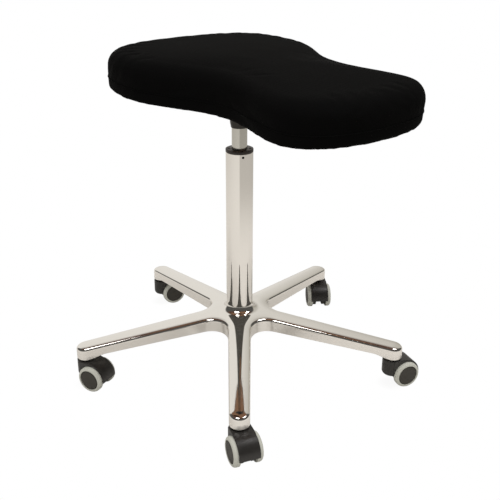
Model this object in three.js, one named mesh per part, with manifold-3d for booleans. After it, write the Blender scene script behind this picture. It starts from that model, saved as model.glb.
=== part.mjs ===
// Saddle stool: a waisted, upholstered seat on a gas-spring column and a five-arm castor base.
// Millimetres, +Z up. The column's axis is X = Y = 0, the floor is Z = 0, and one arm points along -Y.

import * as THREE from "three";
import { mergeVertices } from "three/addons/utils/BufferGeometryUtils.js";
import Module from "manifold-3d";

const wasm = await Module();
wasm.setup();

// Fits that every piece shares
const CLEARANCE = 0.3; // gap between pieces that touch
const OVERRUN = 3; // how far a cutter runs past the face that it cuts

// Castors, five alike
const WHEEL_RADIUS = 25;
const CASTOR_HEIGHT = 58; // floor to the underside of the arm's end
const CASTOR_TRAIL = 21; // stem axis to wheel axis
const HUB_FACE_OFFSET = 25.5; // castor's middle plane to the outer face of a hub
const HUB_FACE_RADIUS = 19;
const HUB_CORE_RADIUS = 21;
const HUB_STEP = 4; // how far the hub's face stands beyond its core, inside the tread's lip
const TREAD_SHOULDER_RADIUS = 5.5;
const TREAD_INSET = 7.5; // tread's inner side behind the hub's
const WEB_HALF_THICKNESS = 6.3; // the housing's middle wall, between the two wheels
const HOOD_HALF_WIDTH = 18.5;
const HOOD_WALL = 1.8;
const WHEEL_WELL_GAP = 1.2; // tread to hood
const HOOD_END_ANGLE = -7; // degrees above the wheel's axis where the hood ends, on the trailing side
const HOOD_TANGENT_ANGLE = 75; // degrees where the hood's arc runs out to the flat top
const HOOD_TOP_GAP = 2.8; // housing's top to the arm
const HOOD_EDGE_BEVEL = 1.2;
const COLLAR_RADIUS = 17.5; // rounded leading side, about the stem
const COLLAR_END_HEIGHT = 22; // floor to the leading side's lower end
const COLLAR_CORNER = 7;
const COLLAR_HALF_ANGLE = 75; // degrees that the rounded leading side spans, either way
const AXLE_RADIUS = 3;
const AXLE_BOSS_RADIUS = 8;
const AXLE_BOSS_HALF_ANGLE = 60; // degrees that its lower edge spans, either way
const AXLE_END_INSET = 4; // axle's end behind the hub's face
const STEM_SHAFT_RADIUS = 4;
const STEM_PLUG_RADIUS = 5.5;
const STEM_PLUG_LENGTH = 18;
const STEM_FLANGE_RADIUS = 9;
const STEM_FLANGE_THICKNESS = 2.2;
const STEM_DEPTH = 26; // how far the shaft reaches down into the housing
const TRAIL_DIRECTIONS = { front: -69, front_right: 22, rear_right: -86, rear_left: 24, front_left: -27 };

// Base casting
const ARM_COUNT = Object.keys(TRAIL_DIRECTIONS).length;
const CASTOR_CIRCLE_RADIUS = 299;
const ARM_END_RADIUS = 17.25;
const ARM_ROOT_HALF_WIDTH = 21;
const ARM_ROOT_REACH = 77;
const ARM_TIP_THICKNESS = 25.5; // underside to top at the arm's end
const ARM_TOP_RISE = 24; // top, from the end to the root
const ARM_UNDERSIDE_RISE = 22.5; // underside, from the end to the root
const ARM_END_DROP = 6; // how far the end's boss hangs below the arm's lower edge
const ARM_END_DROP_LENGTH = 34;
const ARM_END_DROP_SHARES = [0.5, 1]; // where the drop has its points
const ARM_SHOULDER_RADIUS = 6.5;
const ARM_LOWER_EDGE = 1;
const ARM_WALL = 4;
const ARM_RIB = 3.5;
const ARM_POCKETS = 3;
const WEB_FILLET_RADIUS = 35;
const HUB_FILLET_RADIUS = 15;
const HUB_BOSS_WALL = 8;
const HUB_BOSS_DROP = 20; // hub's boss below the arm's lower edge at the root
const HUB_LIP_WIDTH = 3.5;
const HUB_LIP_THICKNESS = 4;

// Column tube and the guide bush in its mouth
const TUBE_RADIUS = 25;
const TUBE_WALL = 2.5;
const TUBE_LENGTH = 362.2;
const TUBE_END_THICKNESS = 3;
const BUSH_FLANGE_RADIUS = 25.3;
const BUSH_FLANGE_THICKNESS = 5;
const BUSH_LENGTH = 85;
const SPANNER_HOLE_RADIUS = 2.6;
const SPANNER_HOLE_DEPTH = 3;
const SPANNER_HOLE_OFFSET = 19;
const GRUB_RADIUS = 2;
const GRUB_DROP = 5.5; // grub screw's axis below the tube's rim
const GRUB_LENGTH = 5;
const GRUB_RECESS = 0.8;
const GRUB_DIRECTION = -75; // degrees, seen from above

// Gas spring
const CYLINDER_RADIUS = 14;
const CYLINDER_WALL = 2.5;
const CYLINDER_EXPOSED = 39.3; // between the bush and the seat's socket in this pose
const CYLINDER_TAPER_LENGTH = 44;
const CYLINDER_TAPER = 0.9; // how much the radius shrinks over the taper
const CYLINDER_GUIDE_LENGTH = 16;
const VALVE_LENGTH = 40;
const HEIGHT_DROP = 25; // travel from this pose to the lowest
const HEIGHT_RISE = 235; // travel from this pose to the highest
const ROD_RADIUS = 5;
const PISTON_LENGTH = 14;
const PIN_RADIUS = 3;
const PIN_EXPOSED = 5;
const PIN_LENGTH = 16;
const BEARING_RADIUS = 11;
const BEARING_RACE_THICKNESS = 2;
const BEARING_BALL_RADIUS = 2;
const BEARING_BALLS = 8;
const BEARING_CAGE_THICKNESS = 1.6;
const BUFFER_RADIUS = 12;
const BUFFER_HEIGHT = 12;
const CLIP_RADIUS = 9;
const CLIP_THICKNESS = 1.5;
const ROD_GROOVE_DEPTH = 1.2;
const ROD_TIP = 3;

// Socket and seat plate
const SOCKET_RADIUS = 17;
const SOCKET_LENGTH = 48.4;
const SOCKET_CHAMFER_HEIGHT = 9;
const SOCKET_MOUTH_WALL = 0.9;
const SOCKET_FLANGE_RADIUS = 21;
const SOCKET_FLANGE_THICKNESS = 2.5;
const BRACKET_WALL = 2.5;
const BRACKET_LENGTH = 96;
const BRACKET_HALF_WIDTH = 38;
const BRACKET_DROP = 26; // plate's underside to the bracket's, on the column's axis
const PLATE_THICKNESS = 3;
const PLATE_LENGTH = 176;
const PLATE_WIDTH = 156;
const PLATE_CORNER_RADIUS = 14;
const PLATE_SCREW_INSET = 14;
const SCREW_RADIUS = 3;
const SCREW_HEAD_RADIUS = 5.6;
const SCREW_HEAD_HEIGHT = 3.4;
const SCREW_GRIP = 9; // how far a screw reaches into the seat board

// Height lever
const LEVER_THICKNESS = 6;
const LEVER_HEIGHT = 5;
const LEVER_NOSE = 4; // past the column's axis
const LEVER_PIVOT_OFFSET = 27;
const LEVER_PIVOT_RADIUS = 2.5;
const LEVER_EYE_RADIUS = 5;
const LEVER_BEND_OFFSET = 30;
const LEVER_END_OFFSET = 108;
const LEVER_END_DROP = 15;
const LUG_THICKNESS = 2.5;
const LUG_HALF_LENGTH = 6;
const GRIP_START_OFFSET = 82;
const GRIP_END_OFFSET = 134;
const GRIP_NECK_HALF_WIDTH = 7;
const GRIP_END_HALF_WIDTH = 13;
const GRIP_THICKNESS = 9.5;
const GRIP_BEVEL = 2;

// Seat
const SEAT_DIRECTION = -51.7; // degrees, seen from above, of the narrow front
const SEAT_TILT = 2.8; // degrees that the front is lower
const SEAT_THICKNESS = 65;
const SEAT_REAR_REACH = 208;
const SEAT_REAR_HALF_WIDTH = 194;
const SEAT_REAR_WIDEST = -65; // along the seat from the column's axis
const SEAT_WAIST_HALF_WIDTH = 126;
const SEAT_WAIST_PLACE = 132;
const SEAT_FRONT_HALF_WIDTH = 145;
const SEAT_FRONT_REACH = 335;
const SEAT_FRONT_END = 76; // from the front's widest place to its tip
const SEAT_REAR_FULLNESS_SHARE = 0.73;
const SEAT_FRONT_FULLNESS_SHARE = 0.62;
const SEAT_WAIST_FULLNESS_SHARE = 0.41;
const SEAT_TOP_EDGE_RADIUS = 27;
const SEAT_LOWER_EDGE_RADIUS = 3;
const SEAT_SIDE_DRAW = 1.5; // how far the sides pull in at their middle seam
const SEAT_CROWN = 7;
const SEAT_CROWN_SHARES = [0.85, 0.68, 0.48, 0.25]; // how far out the crown's rings lie
const BOARD_THICKNESS = 12;
const BOARD_INSET = 14;

const DEGREE = Math.PI / 180;
const WHEEL_SIDES = 20;
const ROUND_SIDES = 24;
const SMALL_SIDES = 12;

const paint = (color, roughness, metalness = 0) =>
  new THREE.MeshStandardMaterial({ color, roughness, metalness });
const polishedAluminium = paint(0xdad6cf, 0.12, 1);
const polishedSteel = paint(0xc9c7c0, 0.18, 1);
const plainSteel = paint(0x8f8e8a, 0.4, 1);
const blackSteel = paint(0x2b2b29, 0.45, 0.6);
const blackPlastic = paint(0x1d1b19, 0.5);
const brownPlastic = paint(0x2a2320, 0.45);
const greyHubPlastic = paint(0x3a3833, 0.5);
const greyTread = paint(0xb4b5ad, 0.7);
const blackRubber = paint(0x161616, 0.85);
const plywood = paint(0xb58d5b, 0.7);
const blackUpholstery = paint(0x0b0b0b, 0.6);

// A closed mesh as a manifold solid, with its faces turned outwards
function solid(geometry) {
  const bare = geometry.index ? geometry.toNonIndexed() : geometry.clone();
  bare.deleteAttribute("normal");
  bare.deleteAttribute("uv");
  const merged = mergeVertices(bare, 1e-4);
  const place = merged.attributes.position;
  const a = new THREE.Vector3();
  const b = new THREE.Vector3();
  const c = new THREE.Vector3();
  const faces = [];
  let volume = 0;
  for (let i = 0; i < merged.index.count; i += 3) {
    const [p, q, r] = [0, 1, 2].map((k) => merged.index.getX(i + k));
    if (p === q || q === r || r === p) continue;
    faces.push([p, q, r]);
    a.fromBufferAttribute(place, p);
    b.fromBufferAttribute(place, q);
    c.fromBufferAttribute(place, r);
    volume += a.dot(b.cross(c));
  }
  const turned = volume < 0 ? faces.map(([p, q, r]) => [p, r, q]) : faces;
  return new wasm.Manifold(
    new wasm.Mesh({
      numProp: 3,
      vertProperties: new Float32Array(place.array),
      triVerts: new Uint32Array(turned.flat()),
    }),
  );
}

function fromSolid(made) {
  const mesh = made.getMesh();
  const geometry = new THREE.BufferGeometry();
  geometry.setAttribute("position", new THREE.BufferAttribute(new Float32Array(mesh.vertProperties), 3));
  geometry.setIndex(new THREE.BufferAttribute(new Uint32Array(mesh.triVerts), 1));
  geometry.computeVertexNormals();
  return geometry;
}

const root = new THREE.Group();

function addMesh(name, made, material, parent = root) {
  const mesh = new THREE.Mesh(fromSolid(made), material);
  mesh.name = name;
  parent.add(mesh);
  return mesh;
}

// Round solid about Z from [radius, height] points, which close on themselves or end on the axis
function revolve(profile, sides = ROUND_SIDES) {
  const points = profile.map(([radius, height]) => new THREE.Vector2(radius, height));
  const onAxis = profile[0][0] === 0 && profile.at(-1)[0] === 0;
  if (!onAxis) points.push(points[0].clone());
  return solid(new THREE.LatheGeometry(points, sides).rotateX(Math.PI / 2));
}

const disc = (radius, low, high, sides = ROUND_SIDES) =>
  revolve([[0, low], [radius, low], [radius, high], [0, high]], sides);

const moved = (made, x, y, z) => made.translate([x, y, z]);

// The same solid laid along +Y in place of +Z
const alongY = (made) => made.rotate([-90, 0, 0]);

function box(sizeX, sizeY, sizeZ, x, y, z) {
  return moved(solid(new THREE.BoxGeometry(sizeX, sizeY, sizeZ)), x, y, z);
}

// Upright slab from a plan outline, standing on Z = 0
function slab(points, thickness, bevel = 0) {
  const shape = new THREE.Shape(points.map(([x, y]) => new THREE.Vector2(x, y)));
  const options = {
    depth: thickness - 2 * bevel,
    bevelEnabled: bevel > 0,
    bevelThickness: bevel,
    bevelSize: bevel,
    bevelOffset: -bevel,
    bevelSegments: 1,
  };
  return moved(solid(new THREE.ExtrudeGeometry(shape, options)), 0, 0, bevel);
}

function arc(x, y, radius, from, to, steps) {
  return Array.from({ length: steps + 1 }, (_, i) => {
    const angle = (from + ((to - from) * i) / steps) * DEGREE;
    return [x + radius * Math.cos(angle), y + radius * Math.sin(angle)];
  });
}

// Closed solid through rings of points that run alike, capped by the given faces or by a plain triangulation
function loft(rings, capFaces) {
  const count = rings[0].length;
  const positions = rings.flat(2);
  const index = [];
  for (let k = 0; k + 1 < rings.length; k++) {
    for (let i = 0; i < count; i++) {
      const next = (i + 1) % count;
      const [p, q] = [k * count + i, k * count + next];
      index.push(p, q, q + count, p, q + count, p + count);
    }
  }
  const cap = (k, flip) => {
    const ring = rings[k].map(([x, y]) => new THREE.Vector2(x, y));
    for (const [a, b, c] of capFaces ?? THREE.ShapeUtils.triangulateShape(ring, [])) {
      const face = flip ? [a, c, b] : [a, b, c];
      index.push(...face.map((i) => k * count + i));
    }
  };
  cap(0, true);
  cap(rings.length - 1, false);
  const geometry = new THREE.BufferGeometry();
  geometry.setAttribute("position", new THREE.Float32BufferAttribute(positions, 3));
  geometry.setIndex(index);
  return solid(geometry);
}

// Outline moved inwards along its own normals; it runs counter-clockwise
function inset(outline, distance) {
  const count = outline.length;
  return outline.map(([x, y], i) => {
    const [ax, ay] = outline[(i + count - 1) % count];
    const [bx, by] = outline[(i + 1) % count];
    const length = Math.hypot(bx - ax, by - ay);
    return [x - ((by - ay) / length) * distance, y + ((bx - ax) / length) * distance];
  });
}

const union = (solids) => wasm.Manifold.union(solids);

// Castor: local +X is the trailing side, the stem's axis is X = Y = 0 and the floor is Z = 0
const housingTop = CASTOR_HEIGHT - HOOD_TOP_GAP;
const wellRadius = WHEEL_RADIUS + WHEEL_WELL_GAP;
const hoodRadius = wellRadius + HOOD_WALL;
const wheelInner = WEB_HALF_THICKNESS + CLEARANCE * 2;
// A wheel of flat sides stands on one of them
const flatSided = (radius) => radius / Math.cos(Math.PI / WHEEL_SIDES);
const flatTurn = 180 / WHEEL_SIDES;
const stemShaftEnd = housingTop - STEM_DEPTH;

function wheelTread() {
  const treadInner = wheelInner + TREAD_INSET;
  const seat = HUB_CORE_RADIUS + CLEARANCE;
  const lip = HUB_FACE_RADIUS + CLEARANCE;
  const lipInner = HUB_FACE_OFFSET - HUB_STEP + CLEARANCE;
  const shoulderReach = HUB_FACE_OFFSET - TREAD_SHOULDER_RADIUS;
  const shoulder = arc(WHEEL_RADIUS - TREAD_SHOULDER_RADIUS, shoulderReach, TREAD_SHOULDER_RADIUS, 0, 90, 2);
  const profile = [
    [seat, treadInner],
    [WHEEL_RADIUS, treadInner],
    ...shoulder,
    [lip, HUB_FACE_OFFSET],
    [lip, lipInner],
    [seat, lipInner],
  ];
  const sided = profile.map(([radius, height]) => [flatSided(radius), height]);
  return revolve(sided, WHEEL_SIDES).rotate([0, 0, flatTurn]);
}

function wheelHub() {
  const bore = AXLE_RADIUS + CLEARANCE;
  const boreEnd = HUB_FACE_OFFSET - AXLE_END_INSET + CLEARANCE;
  const coreEnd = HUB_FACE_OFFSET - HUB_STEP;
  return revolve(
    [
      [0, HUB_FACE_OFFSET],
      [flatSided(HUB_FACE_RADIUS), HUB_FACE_OFFSET],
      [flatSided(HUB_FACE_RADIUS), coreEnd],
      [flatSided(HUB_CORE_RADIUS), coreEnd],
      [flatSided(HUB_CORE_RADIUS), wheelInner],
      [bore, wheelInner],
      [bore, boreEnd],
      [0, boreEnd],
    ],
    WHEEL_SIDES,
  ).rotate([0, 0, flatTurn]);
}

// Hood, middle wall and stem boss of the housing, moulded as one
function castorHousing() {
  const top = housingTop;
  const hood = arc(CASTOR_TRAIL, WHEEL_RADIUS, hoodRadius, HOOD_END_ANGLE, HOOD_TANGENT_ANGLE, 7);
  const [tangentX, tangentZ] = hood.at(-1);
  const flatStart = tangentX - (top - tangentZ) * Math.tan(HOOD_TANGENT_ANGLE * DEGREE);
  const cornerHeight = COLLAR_END_HEIGHT + COLLAR_CORNER;
  const corner = arc(COLLAR_CORNER - COLLAR_RADIUS, cornerHeight, COLLAR_CORNER, 180, 270, 3);
  const bossStart = -90 - AXLE_BOSS_HALF_ANGLE;
  const bossEnd = -90 + AXLE_BOSS_HALF_ANGLE;
  const boss = arc(CASTOR_TRAIL, WHEEL_RADIUS, AXLE_BOSS_RADIUS, bossStart, bossEnd, 3);
  const side = [...hood, [flatStart, top], [-COLLAR_RADIUS, top], ...corner, ...boss];
  const profile = slab(side, 2 * HOOD_HALF_WIDTH, HOOD_EDGE_BEVEL)
    .rotate([90, 0, 0])
    .translate([0, HOOD_HALF_WIDTH, 0]);
  const hoodEnd = CASTOR_TRAIL + hoodRadius + OVERRUN;
  const halfWidth = HOOD_HALF_WIDTH + OVERRUN;
  const plan = [
    [CASTOR_TRAIL - wellRadius, halfWidth],
    ...arc(0, 0, COLLAR_RADIUS, 180 - COLLAR_HALF_ANGLE, 180 + COLLAR_HALF_ANGLE, 8),
    [CASTOR_TRAIL - wellRadius, -halfWidth],
    [hoodEnd, -halfWidth],
    [hoodEnd, halfWidth],
  ];
  const well = disc(wellRadius, WEB_HALF_THICKNESS, halfWidth);
  const wells = union([alongY(well), alongY(well.mirror([0, 0, 1]))]);
  const axleHole = alongY(disc(AXLE_RADIUS + CLEARANCE, -halfWidth, halfWidth, SMALL_SIDES));
  const stemHole = disc(STEM_SHAFT_RADIUS + CLEARANCE, stemShaftEnd - CLEARANCE, CASTOR_HEIGHT, SMALL_SIDES);
  return profile
    .intersect(slab(plan, CASTOR_HEIGHT))
    .subtract(wells.add(axleHole).translate([CASTOR_TRAIL, 0, WHEEL_RADIUS]))
    .subtract(stemHole);
}

function castorStem() {
  const flangeTop = CASTOR_HEIGHT - CLEARANCE;
  return revolve(
    [
      [0, stemShaftEnd],
      [STEM_SHAFT_RADIUS, stemShaftEnd],
      [STEM_SHAFT_RADIUS, flangeTop - STEM_FLANGE_THICKNESS],
      [STEM_FLANGE_RADIUS, flangeTop - STEM_FLANGE_THICKNESS],
      [STEM_FLANGE_RADIUS, flangeTop],
      [STEM_PLUG_RADIUS, flangeTop],
      [STEM_PLUG_RADIUS, CASTOR_HEIGHT + STEM_PLUG_LENGTH],
      [0, CASTOR_HEIGHT + STEM_PLUG_LENGTH],
    ],
    SMALL_SIDES,
  );
}

const axleLength = 2 * (HUB_FACE_OFFSET - AXLE_END_INSET);
const tread = alongY(wheelTread());
const hub = alongY(wheelHub());
const castorPieces = {
  stem: [castorStem(), polishedSteel],
  housing: [castorHousing(), blackPlastic],
};
const wheelSetPieces = {
  axle: [alongY(disc(AXLE_RADIUS, -axleLength / 2, axleLength / 2, SMALL_SIDES)), plainSteel],
  left_hub: [hub, greyHubPlastic],
  left_tread: [tread, greyTread],
  right_hub: [hub.mirror([0, 1, 0]), greyHubPlastic],
  right_tread: [tread.mirror([0, 1, 0]), greyTread],
};

const armAngle = (i) => -90 + (i * 360) / ARM_COUNT;
Object.entries(TRAIL_DIRECTIONS).forEach(([place, direction], i) => {
  const castor = new THREE.Group();
  const angle = armAngle(i) * DEGREE;
  castor.position.set(CASTOR_CIRCLE_RADIUS * Math.cos(angle), CASTOR_CIRCLE_RADIUS * Math.sin(angle), 0);
  castor.rotation.z = direction * DEGREE;
  const wheelSet = new THREE.Group();
  wheelSet.position.set(CASTOR_TRAIL, 0, WHEEL_RADIUS);
  castor.add(wheelSet);
  root.add(castor);
  for (const [piece, [made, material]] of Object.entries(castorPieces)) {
    addMesh(`${place}_castor_${piece}`, made, material, castor);
  }
  for (const [piece, [made, material]] of Object.entries(wheelSetPieces)) {
    addMesh(`${place}_castor_${piece}`, made, material, wheelSet);
  }
});

// Base casting: five tapering arms, flat on top, that run together through fillets at the hub
const armTipTop = CASTOR_HEIGHT + ARM_TIP_THICKNESS;
const armSlopeLength = CASTOR_CIRCLE_RADIUS - ARM_ROOT_REACH;
const armRootTop = armTipTop + ARM_TOP_RISE;
const armRootUnderside = CASTOR_HEIGHT + ARM_UNDERSIDE_RISE;
const armHalfAngle = 180 / ARM_COUNT;

// Distance along the nearest arm of a point in plan
function reachAlongArm(x, y) {
  const reaches = Array.from({ length: ARM_COUNT }, (_, i) => {
    const angle = armAngle(i) * DEGREE;
    return x * Math.cos(angle) + y * Math.sin(angle);
  });
  return Math.max(...reaches);
}

const armTop = (reach) => armRootTop - (ARM_TOP_RISE * (reach - ARM_ROOT_REACH)) / armSlopeLength;

function armUnderside(reach) {
  const straightRise = ARM_UNDERSIDE_RISE - ARM_END_DROP;
  const straight = armRootUnderside - (straightRise * (reach - ARM_ROOT_REACH)) / armSlopeLength;
  const dropStart = CASTOR_CIRCLE_RADIUS - ARM_END_DROP_LENGTH;
  const share = THREE.MathUtils.smoothstep(reach, dropStart, CASTOR_CIRCLE_RADIUS);
  return Math.max(straight - ARM_END_DROP * share, CASTOR_HEIGHT);
}

// Half an arm's outline, from the middle of its end to the middle of the web, on its counter-clockwise side
function halfArm() {
  const taper = Math.atan((ARM_ROOT_HALF_WIDTH - ARM_END_RADIUS) / armSlopeLength);
  const widthAtAxis = ARM_END_RADIUS + CASTOR_CIRCLE_RADIUS * Math.tan(taper);
  const half = armHalfAngle * DEGREE;
  const filletReach =
    (WEB_FILLET_RADIUS / Math.cos(taper) + widthAtAxis) / (Math.sin(half) + Math.cos(half) * Math.tan(taper));
  const filletX = filletReach * Math.cos(half);
  const filletY = filletReach * Math.sin(half);
  const end = arc(CASTOR_CIRCLE_RADIUS, 0, ARM_END_RADIUS, 0, 90 - taper / DEGREE, 5);
  const drops = ARM_END_DROP_SHARES.map((share) => {
    const reach = CASTOR_CIRCLE_RADIUS - ARM_END_DROP_LENGTH * share;
    return [reach, widthAtAxis - reach * Math.tan(taper)];
  });
  const web = arc(filletX, filletY, WEB_FILLET_RADIUS, -90 - taper / DEGREE, armHalfAngle - 180, 4);
  return [...end, ...drops, ...web];
}

function starOutline() {
  const half = halfArm();
  const back = half.slice(1, -1).reverse().map(([x, y]) => [x, -y]);
  const armPoints = [...back, ...half];
  return Array.from({ length: ARM_COUNT }, (_, i) => {
    const angle = armAngle(i) * DEGREE;
    return armPoints.map(([x, y]) => [
      x * Math.cos(angle) - y * Math.sin(angle),
      x * Math.sin(angle) + y * Math.cos(angle),
    ]);
  }).flat();
}

// Faces across the star's outline: rungs from side to side of each arm, and one face between the webs
function starFaces() {
  const perHalf = halfArm().length;
  const perArm = 2 * perHalf - 2;
  const total = perArm * ARM_COUNT;
  const faces = [];
  for (let i = 0; i < ARM_COUNT; i++) {
    const tip = i * perArm + perHalf - 2;
    const left = (j) => tip + j;
    const right = (j) => (tip - j + total) % total;
    faces.push([tip, left(1), right(1)]);
    for (let j = 1; j + 1 < perHalf; j++) {
      faces.push([right(j), left(j), left(j + 1)], [right(j), left(j + 1), right(j + 1)]);
    }
  }
  const webs = Array.from({ length: ARM_COUNT }, (_, i) => (i + 1) * perArm - 1);
  webs.slice(2).forEach((web, i) => faces.push([webs[0], webs[i + 1], web]));
  return faces;
}

const tubeBore = TUBE_RADIUS + CLEARANCE;
const hubBossRadius = tubeBore + HUB_BOSS_WALL;
const webReach = Math.min(...starOutline().map(([x, y]) => reachAlongArm(x, y)));
const hubBottom = armRootUnderside - HUB_BOSS_DROP;
const tubeBottom = hubBottom + HUB_LIP_THICKNESS + CLEARANCE;
const filletOuter = tubeBore + HUB_FILLET_RADIUS;
const filletLow = armTop(webReach);

function armPockets() {
  const start = filletOuter;
  const end = CASTOR_CIRCLE_RADIUS - STEM_PLUG_RADIUS - ARM_WALL * 2;
  const pitch = (end - start) / ARM_POCKETS;
  const pockets = Array.from({ length: ARM_POCKETS }, (_, k) => {
    const near = start + k * pitch + ARM_RIB / 2;
    const far = start + (k + 1) * pitch - ARM_RIB / 2;
    const share = (CASTOR_CIRCLE_RADIUS - far) / armSlopeLength;
    const halfWidth = ARM_END_RADIUS + (ARM_ROOT_HALF_WIDTH - ARM_END_RADIUS) * share - ARM_WALL;
    const side = [
      [near, CASTOR_HEIGHT - OVERRUN],
      [far, CASTOR_HEIGHT - OVERRUN],
      [far, armTop(far) - ARM_WALL],
      [near, armTop(near) - ARM_WALL],
    ];
    return moved(slab(side, 2 * halfWidth).rotate([90, 0, 0]), 0, halfWidth, 0);
  });
  const arm = union(pockets);
  return union(Array.from({ length: ARM_COUNT }, (_, i) => arm.rotate([0, 0, armAngle(i)])));
}

function baseStar() {
  const outline = starOutline();
  const ring = (distance, height) =>
    inset(outline, distance).map(([x, y]) => [x, y, height(reachAlongArm(x, y))]);
  const shoulders = [0, 45, 90].map((angle) =>
    ring(ARM_SHOULDER_RADIUS * (1 - Math.cos(angle * DEGREE)), (reach) =>
      armTop(reach) - ARM_SHOULDER_RADIUS * (1 - Math.sin(angle * DEGREE)),
    ),
  );
  const lowerEdge = ring(ARM_LOWER_EDGE, armUnderside);
  const wall = ring(0, (reach) => armUnderside(reach) + ARM_LOWER_EDGE);
  const star = loft([lowerEdge, wall, ...shoulders], starFaces());
  const fillet = arc(filletOuter, filletLow + HUB_FILLET_RADIUS, HUB_FILLET_RADIUS, 270, 180, 5);
  const hubCasting = revolve([
    [tubeBore - HUB_LIP_WIDTH, hubBottom],
    [hubBossRadius, hubBottom],
    [hubBossRadius, filletLow - ARM_SHOULDER_RADIUS],
    [filletOuter, filletLow - ARM_SHOULDER_RADIUS],
    ...fillet,
    [tubeBore, tubeBottom - CLEARANCE],
    [tubeBore - HUB_LIP_WIDTH, tubeBottom - CLEARANCE],
  ]);
  const bore = disc(tubeBore, hubBottom, filletLow + HUB_FILLET_RADIUS);
  const sockets = union(
    Array.from({ length: ARM_COUNT }, (_, i) => {
      const socket = disc(
        STEM_PLUG_RADIUS + CLEARANCE,
        CASTOR_HEIGHT - OVERRUN,
        CASTOR_HEIGHT + STEM_PLUG_LENGTH + CLEARANCE,
        SMALL_SIDES,
      );
      return socket.translate([CASTOR_CIRCLE_RADIUS, 0, 0]).rotate([0, 0, armAngle(i)]);
    }),
  );
  return star.subtract(armPockets()).subtract(bore).add(hubCasting).subtract(sockets);
}
addMesh("base_star", baseStar(), polishedAluminium);

// Column tube, with a closed end that the rod stands in, and its bush
const tubeTop = tubeBottom + TUBE_LENGTH;
const tubeInner = TUBE_RADIUS - TUBE_WALL;
const rodHole = ROD_RADIUS + CLEARANCE;
const grubHeight = tubeTop - GRUB_DROP;
const acrossTube = (radius, near, far) =>
  disc(radius, near, far, SMALL_SIDES)
    .rotate([0, 90, 0])
    .rotate([0, 0, GRUB_DIRECTION])
    .translate([0, 0, grubHeight]);

const columnTube = revolve([
  [rodHole, tubeBottom],
  [TUBE_RADIUS, tubeBottom],
  [TUBE_RADIUS, tubeTop],
  [tubeInner, tubeTop],
  [tubeInner, tubeBottom + TUBE_END_THICKNESS],
  [rodHole, tubeBottom + TUBE_END_THICKNESS],
]).subtract(acrossTube(GRUB_RADIUS + CLEARANCE, tubeInner - OVERRUN, TUBE_RADIUS + OVERRUN));
addMesh("column_tube", columnTube, polishedAluminium);

const bushBore = CYLINDER_RADIUS + CLEARANCE;
const bushOuter = tubeInner - CLEARANCE;
const flangeLow = tubeTop + CLEARANCE;
const flangeTop = flangeLow + BUSH_FLANGE_THICKNESS;
const spannerHoles = [1, -1].map((side) =>
  disc(SPANNER_HOLE_RADIUS, flangeTop - SPANNER_HOLE_DEPTH, flangeTop + OVERRUN, SMALL_SIDES).translate([
    side * SPANNER_HOLE_OFFSET,
    0,
    0,
  ]),
);
const grubEnd = TUBE_RADIUS - GRUB_RECESS;
const grubStart = grubEnd - GRUB_LENGTH;
const guideBush = revolve([
  [bushBore, flangeTop - BUSH_LENGTH],
  [bushOuter, flangeTop - BUSH_LENGTH],
  [bushOuter, flangeLow],
  [BUSH_FLANGE_RADIUS, flangeLow],
  [BUSH_FLANGE_RADIUS, flangeTop],
  [bushBore, flangeTop],
])
  .subtract(union(spannerHoles))
  .subtract(acrossTube(GRUB_RADIUS + CLEARANCE, grubStart - CLEARANCE, TUBE_RADIUS + OVERRUN));
addMesh("guide_bush", guideBush, brownPlastic);
addMesh("bush_grub_screw", acrossTube(GRUB_RADIUS, grubStart, grubEnd), blackSteel);

// Gas spring: the rod stands on a thrust bearing in the tube's end, and the cylinder slides on it
const clipTop = tubeBottom - CLEARANCE;
const clipLow = clipTop - CLIP_THICKNESS;
const lowerRaceLow = tubeBottom + TUBE_END_THICKNESS + CLEARANCE;
const ballMiddle = lowerRaceLow + BEARING_RACE_THICKNESS + CLEARANCE + BEARING_BALL_RADIUS;
const upperRaceLow = ballMiddle + BEARING_BALL_RADIUS + CLEARANCE;
const bufferLow = upperRaceLow + BEARING_RACE_THICKNESS + CLEARANCE;
const bufferTop = bufferLow + BUFFER_HEIGHT;
const cylinderLow = bufferTop + CLEARANCE + HEIGHT_DROP;
const socketLow = flangeTop + CYLINDER_EXPOSED;
const cylinderTop = socketLow + SOCKET_LENGTH + CLEARANCE;
const taperLow = cylinderTop - CYLINDER_TAPER_LENGTH;
const valveLow = cylinderTop - VALVE_LENGTH;
const cylinderBore = CYLINDER_RADIUS - CYLINDER_WALL;
const pinHole = PIN_RADIUS + CLEARANCE;
function taperRadius(height) {
  return CYLINDER_RADIUS - (CYLINDER_TAPER * Math.max(height - taperLow, 0)) / CYLINDER_TAPER_LENGTH;
}

const pressureCylinder = revolve([
  [rodHole, cylinderLow],
  [CYLINDER_RADIUS, cylinderLow],
  [CYLINDER_RADIUS, taperLow],
  [taperRadius(cylinderTop), cylinderTop],
  [pinHole, cylinderTop],
  [pinHole, valveLow],
  [cylinderBore, valveLow],
  [cylinderBore, cylinderLow + CYLINDER_GUIDE_LENGTH],
  [rodHole, cylinderLow + CYLINDER_GUIDE_LENGTH],
]);
addMesh("pressure_cylinder", pressureCylinder, polishedSteel);

const pistonLow = cylinderLow + CYLINDER_GUIDE_LENGTH + HEIGHT_RISE + CLEARANCE;
const grooveRadius = ROD_RADIUS - ROD_GROOVE_DEPTH;
const pistonRod = revolve(
  [
    [0, clipLow - ROD_TIP],
    [ROD_RADIUS, clipLow - ROD_TIP],
    [ROD_RADIUS, clipLow - CLEARANCE],
    [grooveRadius, clipLow - CLEARANCE],
    [grooveRadius, clipTop],
    [ROD_RADIUS, clipTop],
    [ROD_RADIUS, pistonLow - CLEARANCE],
    [0, pistonLow - CLEARANCE],
  ],
  SMALL_SIDES,
);
addMesh("piston_rod", pistonRod, polishedSteel);
addMesh("piston", disc(cylinderBore - CLEARANCE, pistonLow, pistonLow + PISTON_LENGTH), blackPlastic);

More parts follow.
